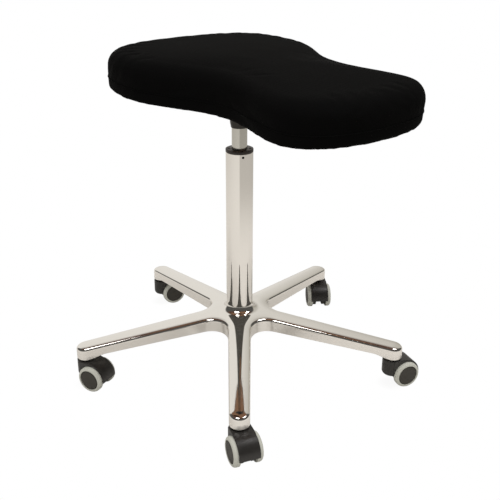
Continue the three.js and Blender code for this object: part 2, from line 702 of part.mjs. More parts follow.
const pinTop = cylinderTop + PIN_EXPOSED;
addMesh("release_pin", disc(PIN_RADIUS, pinTop - PIN_LENGTH, pinTop, SMALL_SIDES), plainSteel);

const ringAround = (inner, outer, low, high, sides = ROUND_SIDES) =>
  revolve([[inner, low], [outer, low], [outer, high], [inner, high]], sides);
const bearingRace = (low) => ringAround(rodHole, BEARING_RADIUS, low, low + BEARING_RACE_THICKNESS);
addMesh("lower_bearing_race", bearingRace(lowerRaceLow), plainSteel);
addMesh("upper_bearing_race", bearingRace(upperRaceLow), plainSteel);
addMesh("rubber_buffer", ringAround(rodHole, BUFFER_RADIUS, bufferLow, bufferTop), blackRubber);

function ballCage() {
  const circle = (rodHole + BEARING_RADIUS) / 2;
  const ball = solid(new THREE.IcosahedronGeometry(BEARING_BALL_RADIUS));
  const balls = Array.from({ length: BEARING_BALLS }, (_, i) =>
    ball.translate([circle, 0, ballMiddle]).rotate([0, 0, (i * 360) / BEARING_BALLS]),
  );
  const half = BEARING_CAGE_THICKNESS / 2;
  return union([ringAround(rodHole, BEARING_RADIUS, ballMiddle - half, ballMiddle + half), ...balls]);
}
addMesh("bearing_ball_cage", ballCage(), plainSteel);

// Horseshoe clip in the rod's groove, under the tube's end
function rodClip() {
  const mouth = grooveRadius + CLEARANCE;
  const reach = CLIP_RADIUS + OVERRUN;
  const slot = box(reach, 2 * mouth, CLIP_THICKNESS + OVERRUN, reach / 2, 0, (clipLow + clipTop) / 2);
  return ringAround(mouth, CLIP_RADIUS, clipLow, clipTop).subtract(slot);
}
addMesh("rod_clip", rodClip(), plainSteel);

// Seat carrier: everything here turns with the seat
const seatCarrier = new THREE.Group();
seatCarrier.rotation.z = SEAT_DIRECTION * DEGREE;
root.add(seatCarrier);

const leverTop = pinTop + CLEARANCE + LEVER_HEIGHT;
const plateLow = leverTop + CLEARANCE * 2;
const seatUnderside = plateLow + PLATE_THICKNESS + CLEARANCE;
const bracketLow = plateLow - BRACKET_DROP;

function coneSocket() {
  const mouth = taperRadius(socketLow) + CLEARANCE;
  const bore = (height) => taperRadius(height) + CLEARANCE;
  const socketTop = socketLow + SOCKET_LENGTH;
  const collarLow = bracketLow + BRACKET_WALL + CLEARANCE;
  return revolve([
    [mouth, socketLow],
    [mouth + SOCKET_MOUTH_WALL, socketLow],
    [SOCKET_RADIUS, socketLow + SOCKET_CHAMFER_HEIGHT],
    [SOCKET_RADIUS, collarLow],
    [SOCKET_FLANGE_RADIUS, collarLow],
    [SOCKET_FLANGE_RADIUS, collarLow + SOCKET_FLANGE_THICKNESS],
    [SOCKET_RADIUS, collarLow + SOCKET_FLANGE_THICKNESS],
    [SOCKET_RADIUS, socketTop],
    [bore(socketTop), socketTop],
    [bore(taperLow), taperLow],
  ]);
}
addMesh("cone_socket", coneSocket(), blackSteel, seatCarrier);

// Solids drawn about the seat's underside are tipped with it about the column's axis
const tipped = (made) => made.rotate([0, SEAT_TILT, 0]).translate([0, 0, seatUnderside]);

const plateScrews = [1, -1].flatMap((x) =>
  [1, -1].map((y) => [
    x * (PLATE_LENGTH / 2 - PLATE_SCREW_INSET),
    y * (PLATE_WIDTH / 2 - PLATE_SCREW_INSET),
  ]),
);
const atScrews = (made) => union(plateScrews.map(([x, y]) => made.translate([x, y, 0])));
const leverPivotHeight = leverTop - LEVER_EYE_RADIUS;
const leverMiddle = leverTop - LEVER_HEIGHT / 2;

function roundedRectangle(length, width, radius) {
  const corners = [[1, 1], [-1, 1], [-1, -1], [1, -1]];
  return corners.flatMap(([x, y], i) =>
    arc(x * (length / 2 - radius), y * (width / 2 - radius), radius, i * 90, (i + 1) * 90, 4),
  );
}

// Pressed plate with a welded channel below it, which holds the socket and the lever's two lugs
function seatPlate() {
  const plateTop = -CLEARANCE;
  const holeLow = plateTop - PLATE_THICKNESS - OVERRUN;
  const screwHole = disc(SCREW_RADIUS + CLEARANCE, holeLow, OVERRUN, SMALL_SIDES);
  const plate = tipped(
    slab(roundedRectangle(PLATE_LENGTH, PLATE_WIDTH, PLATE_CORNER_RADIUS), PLATE_THICKNESS)
      .translate([0, 0, plateTop - PLATE_THICKNESS])
      .subtract(atScrews(screwHole)),
  );
  const channelTop = plateLow + BRACKET_DROP;
  const height = channelTop - bracketLow;
  const channel = box(BRACKET_LENGTH, 2 * BRACKET_HALF_WIDTH, height, 0, 0, bracketLow + height / 2);
  const insideLow = bracketLow + BRACKET_WALL;
  const inside = box(
    BRACKET_LENGTH + OVERRUN,
    2 * (BRACKET_HALF_WIDTH - BRACKET_WALL),
    channelTop - insideLow + OVERRUN,
    0,
    0,
    (channelTop + OVERRUN + insideLow) / 2,
  );
  const lugMiddle = LEVER_THICKNESS / 2 + CLEARANCE + LUG_THICKNESS / 2;
  const lugLow = leverPivotHeight - LUG_HALF_LENGTH;
  const lugs = [1, -1].map((side) =>
    box(
      LUG_THICKNESS,
      2 * LUG_HALF_LENGTH,
      channelTop - lugLow,
      side * lugMiddle,
      LEVER_PIVOT_OFFSET,
      (channelTop + lugLow) / 2,
    ),
  );
  const windowLow = leverTop - 2 * LEVER_HEIGHT;
  const window = box(
    LEVER_THICKNESS + OVERRUN,
    BRACKET_WALL + OVERRUN,
    channelTop - windowLow,
    0,
    BRACKET_HALF_WIDTH - BRACKET_WALL / 2,
    (channelTop + windowLow) / 2,
  );
  const above = tipped(
    box(PLATE_LENGTH, PLATE_WIDTH, 2 * BRACKET_DROP, 0, 0, plateTop - PLATE_THICKNESS / 2 + BRACKET_DROP),
  );
  const welded = channel.subtract(inside).add(union(lugs)).subtract(above).subtract(window);
  const cut = lugMiddle + LUG_THICKNESS;
  const pinHoleCut = disc(LEVER_PIVOT_RADIUS + CLEARANCE, -cut, cut, SMALL_SIDES)
    .rotate([0, 90, 0])
    .translate([0, LEVER_PIVOT_OFFSET, leverPivotHeight]);
  const socketHole = disc(SOCKET_RADIUS + CLEARANCE, bracketLow - OVERRUN, insideLow + OVERRUN);
  return welded.add(plate).subtract(socketHole).subtract(pinHoleCut);
}
addMesh("seat_plate", seatPlate(), blackSteel, seatCarrier);

const pivotHalfLength = LEVER_THICKNESS / 2 + CLEARANCE + LUG_THICKNESS + LEVER_PIVOT_RADIUS;
const pivotPin = disc(LEVER_PIVOT_RADIUS, -pivotHalfLength, pivotHalfLength, SMALL_SIDES)
  .rotate([0, 90, 0])
  .translate([0, LEVER_PIVOT_OFFSET, leverPivotHeight]);
addMesh("lever_pivot_pin", pivotPin, plainSteel, seatCarrier);

// Bar with an eye on the pivot; it reaches from the release pin to the grip, drawn as [outwards, height]
function releaseLever() {
  const half = LEVER_HEIGHT / 2;
  const low = leverMiddle - LEVER_END_DROP;
  const side = [
    [-LEVER_NOSE, leverMiddle - half],
    [LEVER_BEND_OFFSET, leverMiddle - half],
    [LEVER_END_OFFSET, low - half],
    [LEVER_END_OFFSET, low + half],
    [LEVER_BEND_OFFSET, leverMiddle + half],
    [-LEVER_NOSE, leverMiddle + half],
  ];
  const bar = slab(side, LEVER_THICKNESS).rotate([90, 0, 90]).translate([-LEVER_THICKNESS / 2, 0, 0]);
  const across = (radius, reach) =>
    disc(radius, -reach, reach, SMALL_SIDES)
      .rotate([0, 90, 0])
      .translate([0, LEVER_PIVOT_OFFSET, leverPivotHeight]);
  const eye = across(LEVER_EYE_RADIUS, LEVER_THICKNESS / 2);
  return bar.add(eye).subtract(across(LEVER_PIVOT_RADIUS + CLEARANCE, LEVER_THICKNESS));
}
addMesh("release_lever", releaseLever(), plainSteel, seatCarrier);

// Moulded paddle pushed over the bar's end
function leverGrip() {
  const length = GRIP_END_OFFSET - GRIP_START_OFFSET;
  const outline = [
    [0, -GRIP_NECK_HALF_WIDTH],
    ...arc(length - GRIP_END_HALF_WIDTH, 0, GRIP_END_HALF_WIDTH, -75, 75, 8),
    [0, GRIP_NECK_HALF_WIDTH],
  ];
  const run = LEVER_END_OFFSET - LEVER_BEND_OFFSET;
  const slope = Math.atan(LEVER_END_DROP / run) / DEGREE;
  const start = leverMiddle - (LEVER_END_DROP * (GRIP_START_OFFSET - LEVER_BEND_OFFSET)) / run;
  const paddle = slab(outline, GRIP_THICKNESS, GRIP_BEVEL)
    .translate([0, 0, -GRIP_THICKNESS / 2])
    .rotate([0, slope, 0])
    .rotate([0, 0, 90])
    .translate([0, GRIP_START_OFFSET, start]);
  const slotDepth = (LEVER_END_OFFSET - GRIP_START_OFFSET) / Math.cos(slope * DEGREE) + LEVER_HEIGHT / 2;
  const slot = box(LEVER_THICKNESS + 2 * CLEARANCE, 2 * slotDepth, LEVER_HEIGHT + 2 * CLEARANCE, 0, 0, 0)
    .rotate([-slope, 0, 0])
    .translate([0, GRIP_START_OFFSET, start]);
  return paddle.subtract(slot);
}
addMesh("lever_grip", leverGrip(), blackPlastic, seatCarrier);

// Seat outline in plan: a wide rear, a drawn-in waist and a narrower front, alike on both sides
function seatOutline(steps) {
  const widest = SEAT_FRONT_REACH - SEAT_FRONT_END;
  const rear = SEAT_REAR_FULLNESS_SHARE;
  const front = SEAT_FRONT_FULLNESS_SHARE;
  const waist = SEAT_WAIST_FULLNESS_SHARE;
  const between = (a, b, share) => a + (b - a) * share;
  const curves = [
    [
      [SEAT_FRONT_REACH, 0],
      [SEAT_FRONT_REACH, SEAT_FRONT_HALF_WIDTH * front],
      [between(widest, SEAT_FRONT_REACH, front), SEAT_FRONT_HALF_WIDTH],
      [widest, SEAT_FRONT_HALF_WIDTH],
    ],
    [
      [widest, SEAT_FRONT_HALF_WIDTH],
      [between(widest, SEAT_WAIST_PLACE, waist), SEAT_FRONT_HALF_WIDTH],
      [between(SEAT_WAIST_PLACE, widest, waist), SEAT_WAIST_HALF_WIDTH],
      [SEAT_WAIST_PLACE, SEAT_WAIST_HALF_WIDTH],
    ],
    [
      [SEAT_WAIST_PLACE, SEAT_WAIST_HALF_WIDTH],
      [between(SEAT_WAIST_PLACE, SEAT_REAR_WIDEST, waist), SEAT_WAIST_HALF_WIDTH],
      [between(SEAT_REAR_WIDEST, SEAT_WAIST_PLACE, waist), SEAT_REAR_HALF_WIDTH],
      [SEAT_REAR_WIDEST, SEAT_REAR_HALF_WIDTH],
    ],
    [
      [SEAT_REAR_WIDEST, SEAT_REAR_HALF_WIDTH],
      [between(SEAT_REAR_WIDEST, -SEAT_REAR_REACH, rear), SEAT_REAR_HALF_WIDTH],
      [-SEAT_REAR_REACH, SEAT_REAR_HALF_WIDTH * rear],
      [-SEAT_REAR_REACH, 0],
    ],
  ];
  const side = curves.flatMap((points) => {
    const [a, b, c, d] = points.map(([x, y]) => new THREE.Vector2(x, y));
    const curve = new THREE.CubicBezierCurve(a, b, c, d);
    return curve.getPoints(steps).slice(0, -1).map((point) => [point.x, point.y]);
  });
  const other = side.slice(1).reverse().map(([x, y]) => [x, -y]);
  return [...side, [-SEAT_REAR_REACH, 0], ...other];
}

const cushionOutline = seatOutline(8);
const layer = (distance, height) => inset(cushionOutline, distance).map(([x, y]) => [x, y, height]);

function seatBoard() {
  const slabOfBoard = loft([layer(BOARD_INSET, 0), layer(BOARD_INSET, BOARD_THICKNESS)]);
  const hole = disc(SCREW_RADIUS + CLEARANCE, -OVERRUN, SCREW_GRIP + CLEARANCE, SMALL_SIDES);
  return tipped(slabOfBoard.subtract(atScrews(hole)));
}
addMesh("seat_board", seatBoard(), plywood, seatCarrier);

// Upholstered pad: rounded top edge, sides drawn in at their seam, crowned top, and a pocket for the board
function seatCushion() {
  const lowerEdge = [0, 45, 90].map((angle) =>
    layer(
      SEAT_LOWER_EDGE_RADIUS * (1 - Math.sin(angle * DEGREE)),
      SEAT_LOWER_EDGE_RADIUS * (1 - Math.cos(angle * DEGREE)),
    ),
  );
  const edgeLow = SEAT_THICKNESS - SEAT_TOP_EDGE_RADIUS;
  const drawnIn = layer(SEAT_SIDE_DRAW, (SEAT_LOWER_EDGE_RADIUS + edgeLow) / 2);
  const upperEdge = [0, 18, 36, 54, 72, 90].map((angle) =>
    layer(
      SEAT_TOP_EDGE_RADIUS * (1 - Math.cos(angle * DEGREE)),
      edgeLow + SEAT_TOP_EDGE_RADIUS * Math.sin(angle * DEGREE),
    ),
  );
  const middle = (SEAT_FRONT_REACH - SEAT_REAR_REACH) / 2;
  const crown = SEAT_CROWN_SHARES.map((share) =>
    layer(SEAT_TOP_EDGE_RADIUS, 0).map(([x, y]) => [
      middle + (x - middle) * share,
      y * share,
      SEAT_THICKNESS + SEAT_CROWN * (1 - share * share),
    ]),
  );
  const pad = loft([...lowerEdge, drawnIn, ...upperEdge, ...crown]);
  const pocket = loft([
    layer(BOARD_INSET - CLEARANCE, -OVERRUN),
    layer(BOARD_INSET - CLEARANCE, BOARD_THICKNESS + CLEARANCE),
  ]);
  return tipped(pad.subtract(pocket));
}
addMesh("seat_cushion", seatCushion(), blackUpholstery, seatCarrier);

const screwHeadTop = -CLEARANCE - PLATE_THICKNESS - CLEARANCE;
const seatScrew = revolve(
  [
    [0, screwHeadTop - SCREW_HEAD_HEIGHT],
    [SCREW_HEAD_RADIUS - SCREW_HEAD_HEIGHT / 2, screwHeadTop - SCREW_HEAD_HEIGHT],
    [SCREW_HEAD_RADIUS, screwHeadTop - SCREW_HEAD_HEIGHT / 2],
    [SCREW_HEAD_RADIUS, screwHeadTop],
    [SCREW_RADIUS, screwHeadTop],
    [SCREW_RADIUS, SCREW_GRIP],
    [0, SCREW_GRIP],
  ],
  SMALL_SIDES,
);
["front_left", "front_right", "rear_left", "rear_right"].forEach((place, i) => {
  const [x, y] = plateScrews[i];
  addMesh(`seat_screw_${place}`, tipped(seatScrew.translate([x, y, 0])), plainSteel, seatCarrier);
});

export default root;
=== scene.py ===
# Saddle stool: a black waisted seat on a gas-spring column and a polished five-arm castor base.
# Metres, +Z up. The column's axis is X = Y = 0, the floor is Z = 0, and one arm points along -Y.

import math

import bmesh
import bpy
import numpy as np
from mathutils import Matrix, Vector
from mathutils.bvhtree import BVHTree


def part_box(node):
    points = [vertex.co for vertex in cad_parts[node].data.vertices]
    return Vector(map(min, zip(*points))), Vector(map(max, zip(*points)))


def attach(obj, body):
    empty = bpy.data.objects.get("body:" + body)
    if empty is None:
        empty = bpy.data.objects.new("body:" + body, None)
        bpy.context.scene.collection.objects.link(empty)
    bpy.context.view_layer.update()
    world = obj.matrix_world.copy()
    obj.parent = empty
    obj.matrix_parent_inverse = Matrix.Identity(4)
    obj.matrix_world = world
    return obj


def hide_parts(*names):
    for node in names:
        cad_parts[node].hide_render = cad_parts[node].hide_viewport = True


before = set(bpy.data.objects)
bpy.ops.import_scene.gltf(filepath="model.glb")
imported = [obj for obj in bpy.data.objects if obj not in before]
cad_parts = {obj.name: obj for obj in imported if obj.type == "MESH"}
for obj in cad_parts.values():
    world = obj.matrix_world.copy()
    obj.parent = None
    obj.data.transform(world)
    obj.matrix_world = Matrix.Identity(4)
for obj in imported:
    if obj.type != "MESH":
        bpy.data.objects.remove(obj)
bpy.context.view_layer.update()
bpy.ops.object.select_all(action="DESELECT")

# Camera: it stands before the front arm, a little above the seat, and looks down on the stool.
# The frame's centre lies off the lens's axis, so the lens is shifted.
CAMERA_DISTANCE = 1.3296
CAMERA_HEIGHT = 0.818
CAMERA_DOWN = math.radians(21.348)
CAMERA_LENS = 55.24  # millimetres
CAMERA_SENSOR = 36  # millimetres across
CAMERA_SHIFT = (0.02102, -0.06476)
bpy.ops.object.camera_add(
    location=(0, -CAMERA_DISTANCE, CAMERA_HEIGHT),
    rotation=(math.pi / 2 - CAMERA_DOWN, 0, 0),
)
camera = bpy.context.object
camera.data.sensor_width = CAMERA_SENSOR
camera.data.lens = CAMERA_LENS
camera.data.shift_x, camera.data.shift_y = CAMERA_SHIFT
bpy.context.scene.camera = camera
bpy.context.scene.view_settings.view_transform = "Standard"

# Studio: a pale floor that runs out of sight, a room that lights the object evenly, and two soft boxes
# high up, one before the stool and one to its right. The floor's colour holds painted shade to the right
# of the column and far from it. What shines also shows the room's light far side and the darkness above
# it and on the near side.
FLOOR_SIZE = 24
FLOOR_COLOUR = (0.66, 0.65, 0.63)
# Painted shade: the floor's colour darkens to FLOOR_SHADE to the right of the column and far from it.
FLOOR_SHADE = (0.45, 0.44, 0.42)
FLOOR_SHADE_SIDE_SPAN = (-0.04, 0.1)  # to the right of the column
FLOOR_SHADE_REACH_SPAN = (0.5, 1.15)  # from the column
FLOOR_SHADOWS = 5
FLOOR_SHADOW_CIRCLE = 0.299  # of the castors' stems
FLOOR_SHADOW_SPAN = (0.01, 0.03)
FLOOR_SHADOW_GLOW = 0.93
ROOM_COLOUR = (0.86, 0.83, 0.79)
FAR_LEFT_COLOUR = (0.86, 0.84, 0.8)
FAR_RIGHT_COLOUR = (0.56, 0.54, 0.49)
FAR_RIGHT_LOW_COLOUR = (0.42, 0.4, 0.35)
FAR_SIDE_SPAN = (-0.1, 0.5)  # the room's spans are along one axis of a direction of length 1
FAR_LOW_SPAN = (0.2, 0.45)
FAR_DEPTH_SPAN = (0.42, 0.62)
DARK_COLOUR = (0.085, 0.083, 0.078)
DARK_UPPER_COLOUR = (0.11, 0.062, 0.045)
UPPER_SPAN = (0.72, 0.86)
HORIZON_SPAN = (-0.02, 0.06)
SOFT_BOX_PLACES = [(-0.573, -1.078, 2.6), (1.215, -0.106, 2.6)]
SOFT_BOX_SIZE = 0.9
SOFT_BOX_POWER = 22
SOFT_BOX_TARGET = Vector((0, 0, 0.3))
MIX_INPUTS = (0, 6, 7)  # of Blender's colour mix: its share and its two colours
MIX_OUTPUT = 2
FRONT = -math.pi / 2  # the direction of the front arm


def fed(node, values):
    """Sets a node's sockets, each to a number, a colour or another node's output."""
    for key, value in values.items():
        socket = node.inputs[key]
        if isinstance(value, bpy.types.NodeSocket):
            node.id_data.links.new(value, socket)
        elif socket.type == "RGBA":
            socket.default_value = (*value, 1)
        else:
            socket.default_value = value
    return node


def made(tree, kind, values=None):
    """New shader node, with values for its sockets."""
    node = tree.nodes.new(f"ShaderNode{kind}")
    return fed(node, values) if values else node


def map_range(value, low, high, to_low=0.0, to_high=1.0):
    """Smooth step of a value between two places."""
    places = {"From Min": low, "From Max": high, "To Min": to_low, "To Max": to_high}
    node = made(value.id_data, "MapRange", {"Value": value, **places})
    node.interpolation_type = "SMOOTHSTEP"
    return node.outputs["Result"]


def mixed(share, first, second):
    """Colour between two, by a node's output; each is a colour or an output too."""
    node = made(share.id_data, "Mix")
    node.data_type = "RGBA"
    fed(node, dict(zip(MIX_INPUTS, (share, first, second))))
    return node.outputs[MIX_OUTPUT]


def maths(operation, first, second):
    """Result of an operation on a node's output and a second value."""
    node = made(first.id_data, "Math", {0: first, 1: second})
    node.operation = operation
    return node.outputs[0]


def vector_maths(operation, first, second):
    """Number that an operation gives for a node's vector and a fixed one."""
    node = made(first.id_data, "VectorMath", {0: first, 1: second})
    node.operation = operation
    return node.outputs["Value"]


def parts_of(vector):
    """X, Y and Z of a node's vector."""
    return made(vector.id_data, "SeparateXYZ", {0: vector}).outputs


def object_place(tree):
    return made(tree, "TexCoord").outputs["Object"]


def room():
    """Even light on the object; what shines shows a light far side, and darkness elsewhere."""
    world = bpy.data.worlds.new("studio")
    bpy.context.scene.world = world
    world.use_nodes = True
    tree = world.node_tree
    side, depth, height = parts_of(made(tree, "TexCoord").outputs["Generated"])
    lowness = map_range(height, *FAR_LOW_SPAN)
    right_colour = mixed(lowness, FAR_RIGHT_LOW_COLOUR, FAR_RIGHT_COLOUR)
    far_colour = mixed(map_range(side, *FAR_SIDE_SPAN), FAR_LEFT_COLOUR, right_colour)
    dark_colour = mixed(map_range(height, *UPPER_SPAN), DARK_COLOUR, DARK_UPPER_COLOUR)
    above = mixed(map_range(depth, *FAR_DEPTH_SPAN), dark_colour, far_colour)
    shown = mixed(map_range(height, *HORIZON_SPAN), ROOM_COLOUR, above)
    light_path = made(tree, "LightPath").outputs
    lit = mixed(light_path["Is Glossy Ray"], ROOM_COLOUR, shown)
    lit = mixed(light_path["Is Camera Ray"], lit, (1, 1, 1))
    fed(tree.nodes["Background"], {"Color": lit})


def floor_finish():
    """Pale floor that glows white to the camera, but less so about the castors, with painted shade in its
    colour to the right of the column and far off; clear from below.
    """
    material = bpy.data.materials.new("pale_floor")
    material.use_nodes = True
    tree = material.node_tree
    tree.nodes.clear()
    place = object_place(tree)
    right_side = map_range(parts_of(place)["X"], *FLOOR_SHADE_SIDE_SPAN)
    far_off = map_range(vector_maths("DISTANCE", place, (0, 0, 0)), *FLOOR_SHADE_REACH_SPAN)
    # Painted shade: the floor's colour darkens to the right of the column and far from it, and what
    # shines shows it.
    painted_shade_floor_colour = mixed(maths("MULTIPLY", right_side, far_off), FLOOR_COLOUR, FLOOR_SHADE)
    glow_share = made(tree, "LightPath").outputs["Is Camera Ray"]
    for i in range(FLOOR_SHADOWS):
        angle = 2 * math.pi * i / FLOOR_SHADOWS + FRONT
        under = Vector((math.cos(angle), math.sin(angle), 0)) * FLOOR_SHADOW_CIRCLE
        off_castor = vector_maths("DISTANCE", place, under)
        kept = map_range(off_castor, *FLOOR_SHADOW_SPAN, FLOOR_SHADOW_GLOW, 1.0)
        glow_share = maths("MULTIPLY", glow_share, kept)
    diffuse = made(tree, "BsdfDiffuse", {"Color": painted_shade_floor_colour}).outputs[0]
    glow = made(tree, "Emission").outputs[0]
    upper_face = made(tree, "MixShader", {0: glow_share, 1: diffuse, 2: glow}).outputs[0]
    lower_face = made(tree, "BsdfTransparent").outputs[0]
    from_below = made(tree, "NewGeometry").outputs["Backfacing"]
    surface = made(tree, "MixShader", {0: from_below, 1: upper_face, 2: lower_face}).outputs[0]
    made(tree, "OutputMaterial", {"Surface": surface})
    return material


room()
bpy.ops.mesh.primitive_plane_add(size=FLOOR_SIZE)
floor = bpy.context.object
floor.name = "floor"
floor.data.materials.append(floor_finish())
for place in SOFT_BOX_PLACES:
    bpy.ops.object.light_add(type="AREA", location=place)
    soft_box = bpy.context.object
    soft_box.data.shape = "SQUARE"
    soft_box.data.size = SOFT_BOX_SIZE
    soft_box.data.energy = SOFT_BOX_POWER
    soft_box.rotation_euler = (SOFT_BOX_TARGET - Vector(place)).to_track_quat("-Z", "Y").to_euler()

# Base: one aluminium casting, ground and polished. Five arms taper to round ends, crowned on top
# with rounded shoulders, and run into the hub through fillets. Underneath it is hollow and ribbed.
ARM_COUNT = 5
CASTOR_CIRCLE = 0.299
ARM_END_RADIUS = 0.01725
ARM_ROOT_HALF_WIDTH = 0.021
ARM_ROOT_REACH = 0.077
ARM_END_TOP = 0.0835
ARM_ROOT_TOP = 0.1075
ARM_END_UNDERSIDE = 0.058
ARM_ROOT_UNDERSIDE = 0.0805
ARM_END_DROP = 0.006
ARM_END_DROP_LENGTH = 0.034
ARM_SHOULDER = 0.0058
ARM_CROWN_SLOPE = math.radians(14)  # of the crown where the shoulder starts
ARM_LOWER_EDGE = 0.0008
ARM_WALL = 0.004
ARM_ROOF = 0.006  # of metal over the pockets
ARM_RIB = 0.0035
ARM_POCKETS = 3
WEB_FILLET = 0.035
HUB_FILLET = 0.015
HUB_FILLET_END = math.radians(79)  # its slope where it meets the tube
HUB_BOSS_RADIUS = 0.0333
HUB_BOTTOM = 0.0605
HUB_LIP_RADIUS = 0.0218
HUB_LIP_THICKNESS = 0.004
REACH_BLEND = 0.0125  # how softly one arm's slope turns into the next
BORE_RADIUS = 0.02506
STEM_SOCKET_RADIUS = 0.0058
STEM_SOCKET_DEPTH = 0.018
END_STEPS = 14
SIDE_STEPS = 88
WEB_STEPS = 18
RUNG_STEPS = 20
HUB_ROWS = 14
FILLET_ROWS = 12
SHOULDER_ROWS = 14
WALL_RINGS = (0.05, 0.5, 0.95)  # shares of the side wall's height; the outer two keep it flat
WELD_DISTANCE = 1e-6
SMALL_SIDES = 48  # of small round holes and pins
ROUND_SIDES = 128
CROWN_PROBE = 0.0005  # the step over which the crown's slope is taken
ARM_SLOPE_LENGTH = CASTOR_CIRCLE - ARM_ROOT_REACH
ARM_TAPER = math.atan((ARM_ROOT_HALF_WIDTH - ARM_END_RADIUS) / ARM_SLOPE_LENGTH)
HALF_SECTOR = math.pi / ARM_COUNT
WEB_REACH = (
    WEB_FILLET / math.cos(ARM_TAPER) + ARM_END_RADIUS + CASTOR_CIRCLE * math.tan(ARM_TAPER)
) / (math.sin(HALF_SECTOR) + math.cos(HALF_SECTOR) * math.tan(ARM_TAPER))
WEB_CENTRE = Vector((WEB_REACH * math.cos(HALF_SECTOR), WEB_REACH * math.sin(HALF_SECTOR)))
CROWN_INSET = ARM_SHOULDER * (1 - math.sin(ARM_CROWN_SLOPE))


def share_of(value, low, high):
    """Smooth step of a value between two places, as a share."""
    share = min(max((value - low) / (high - low), 0), 1)
    return share * share * (3 - 2 * share)


def along(start, end, share):
    return start + (end - start) * share


def arc_points(centre, radius, start, end, steps):
    angles = [along(start, end, i / steps) for i in range(steps + 1)]
    return [centre + Vector((radius * math.cos(a), radius * math.sin(a))) for a in angles]


def half_arm(inset):
    """Half an arm's outline from the middle of its end to the middle of the web, moved inwards."""
    square = math.pi / 2 - ARM_TAPER
    end = arc_points(Vector((CASTOR_CIRCLE, 0)), ARM_END_RADIUS - inset, 0, square, END_STEPS)
    web = arc_points(WEB_CENTRE, WEB_FILLET + inset, square - math.pi, HALF_SECTOR - math.pi, WEB_STEPS)
    side = [end[-1].lerp(web[0], i / SIDE_STEPS) for i in range(1, SIDE_STEPS)]
    return end + side + web


def reach_of(point):
    """Distance along the nearest arm, rounded where two arms' slopes meet."""
    total = 0
    for i in range(ARM_COUNT):
        angle = i * 2 * HALF_SECTOR
        total += math.exp((point.x * math.cos(angle) + point.y * math.sin(angle)) / REACH_BLEND)
    return REACH_BLEND * math.log(total)


def slope_height(reach, end_height, root_height):
    return along(root_height, end_height, (reach - ARM_ROOT_REACH) / ARM_SLOPE_LENGTH)


def underside_height(reach):
    straight = slope_height(reach, ARM_END_UNDERSIDE + ARM_END_DROP, ARM_ROOT_UNDERSIDE)
    drop = ARM_END_DROP * share_of(reach, CASTOR_CIRCLE - ARM_END_DROP_LENGTH, CASTOR_CIRCLE)
    return max(straight - drop, ARM_END_UNDERSIDE)


def crown_height(point):
    """Top of the casting at a point in plan, with one arm along +X."""
    x, y = point.x, abs(point.y)
    width = ARM_ROOT_HALF_WIDTH - CROWN_INSET
    if x > CASTOR_CIRCLE:
        width = ARM_END_RADIUS - CROWN_INSET
        from_edge = width - math.hypot(x - CASTOR_CIRCLE, y)
    elif x > WEB_CENTRE.x:
        width = ARM_END_RADIUS - CROWN_INSET + (CASTOR_CIRCLE - x) * math.tan(ARM_TAPER)
        from_edge = width - y
    else:
        from_edge = (Vector((x, y)) - WEB_CENTRE).length - WEB_FILLET - CROWN_INSET
    drop = width * math.tan(ARM_CROWN_SLOPE) / 2
    fall = drop * (1 - min(max(from_edge / width, 0), 1)) ** 2
    return slope_height(reach_of(point), ARM_END_TOP, ARM_ROOT_TOP) - fall


def radial_slope(point):
    """How steeply the crown rises towards the column."""
    outer = point * (1 + CROWN_PROBE / point.length)
    return math.atan((crown_height(point) - crown_height(outer)) / CROWN_PROBE)


def raised(points, height):
    return [Vector((p.x, p.y, height(p))) for p in points]


def ring_from(points, scale, height):
    """A row of points drawn in towards the column, all at one height."""
    return [Vector((p.x * scale, p.y * scale, height)) for p in points]


def patch(mesh, rows):
    """Faces between rows of points."""
    verts = [[mesh.verts.new(point) for point in row] for row in rows]
    for lower, upper in zip(verts, verts[1:]):
        for i in range(len(lower) - 1):
            mesh.faces.new((lower[i], lower[i + 1], upper[i + 1], upper[i]))


def mirrored(points):
    """Half an outline and its mirror image across the arm, as one run."""
    return [Vector((p.x, -p.y, *p[2:])) for p in reversed(points)] + list(points[1:])


def rung(point):
    """Points across an arm, from a point of one side to the other side."""
    return [Vector((point.x, point.y * (2 * i / RUNG_STEPS - 1))) for i in range(RUNG_STEPS + 1)]


def arm_rungs(inset, height):
    """Rows across an arm, from its end to its root."""
    side = half_arm(inset)[: END_STEPS + SIDE_STEPS + 1]
    return [raised(rung(point), height) for point in side]


def hub_rows(inset, height, inner_radius, rows):
    """Rows from the webs and the arm's root to a circle about the column."""
    web = half_arm(inset)[END_STEPS + SIDE_STEPS :]
    outer = [Vector((p.x, -p.y)) for p in reversed(web)] + rung(web[0])[1:-1] + web
    circle = arc_points(Vector((0, 0)), inner_radius, -HALF_SECTOR, HALF_SECTOR, len(outer) - 1)
    plan = [[a.lerp(b, k / rows) for a, b in zip(outer, circle)] for k in range(rows + 1)]
    return [raised(row, height) for row in plan]


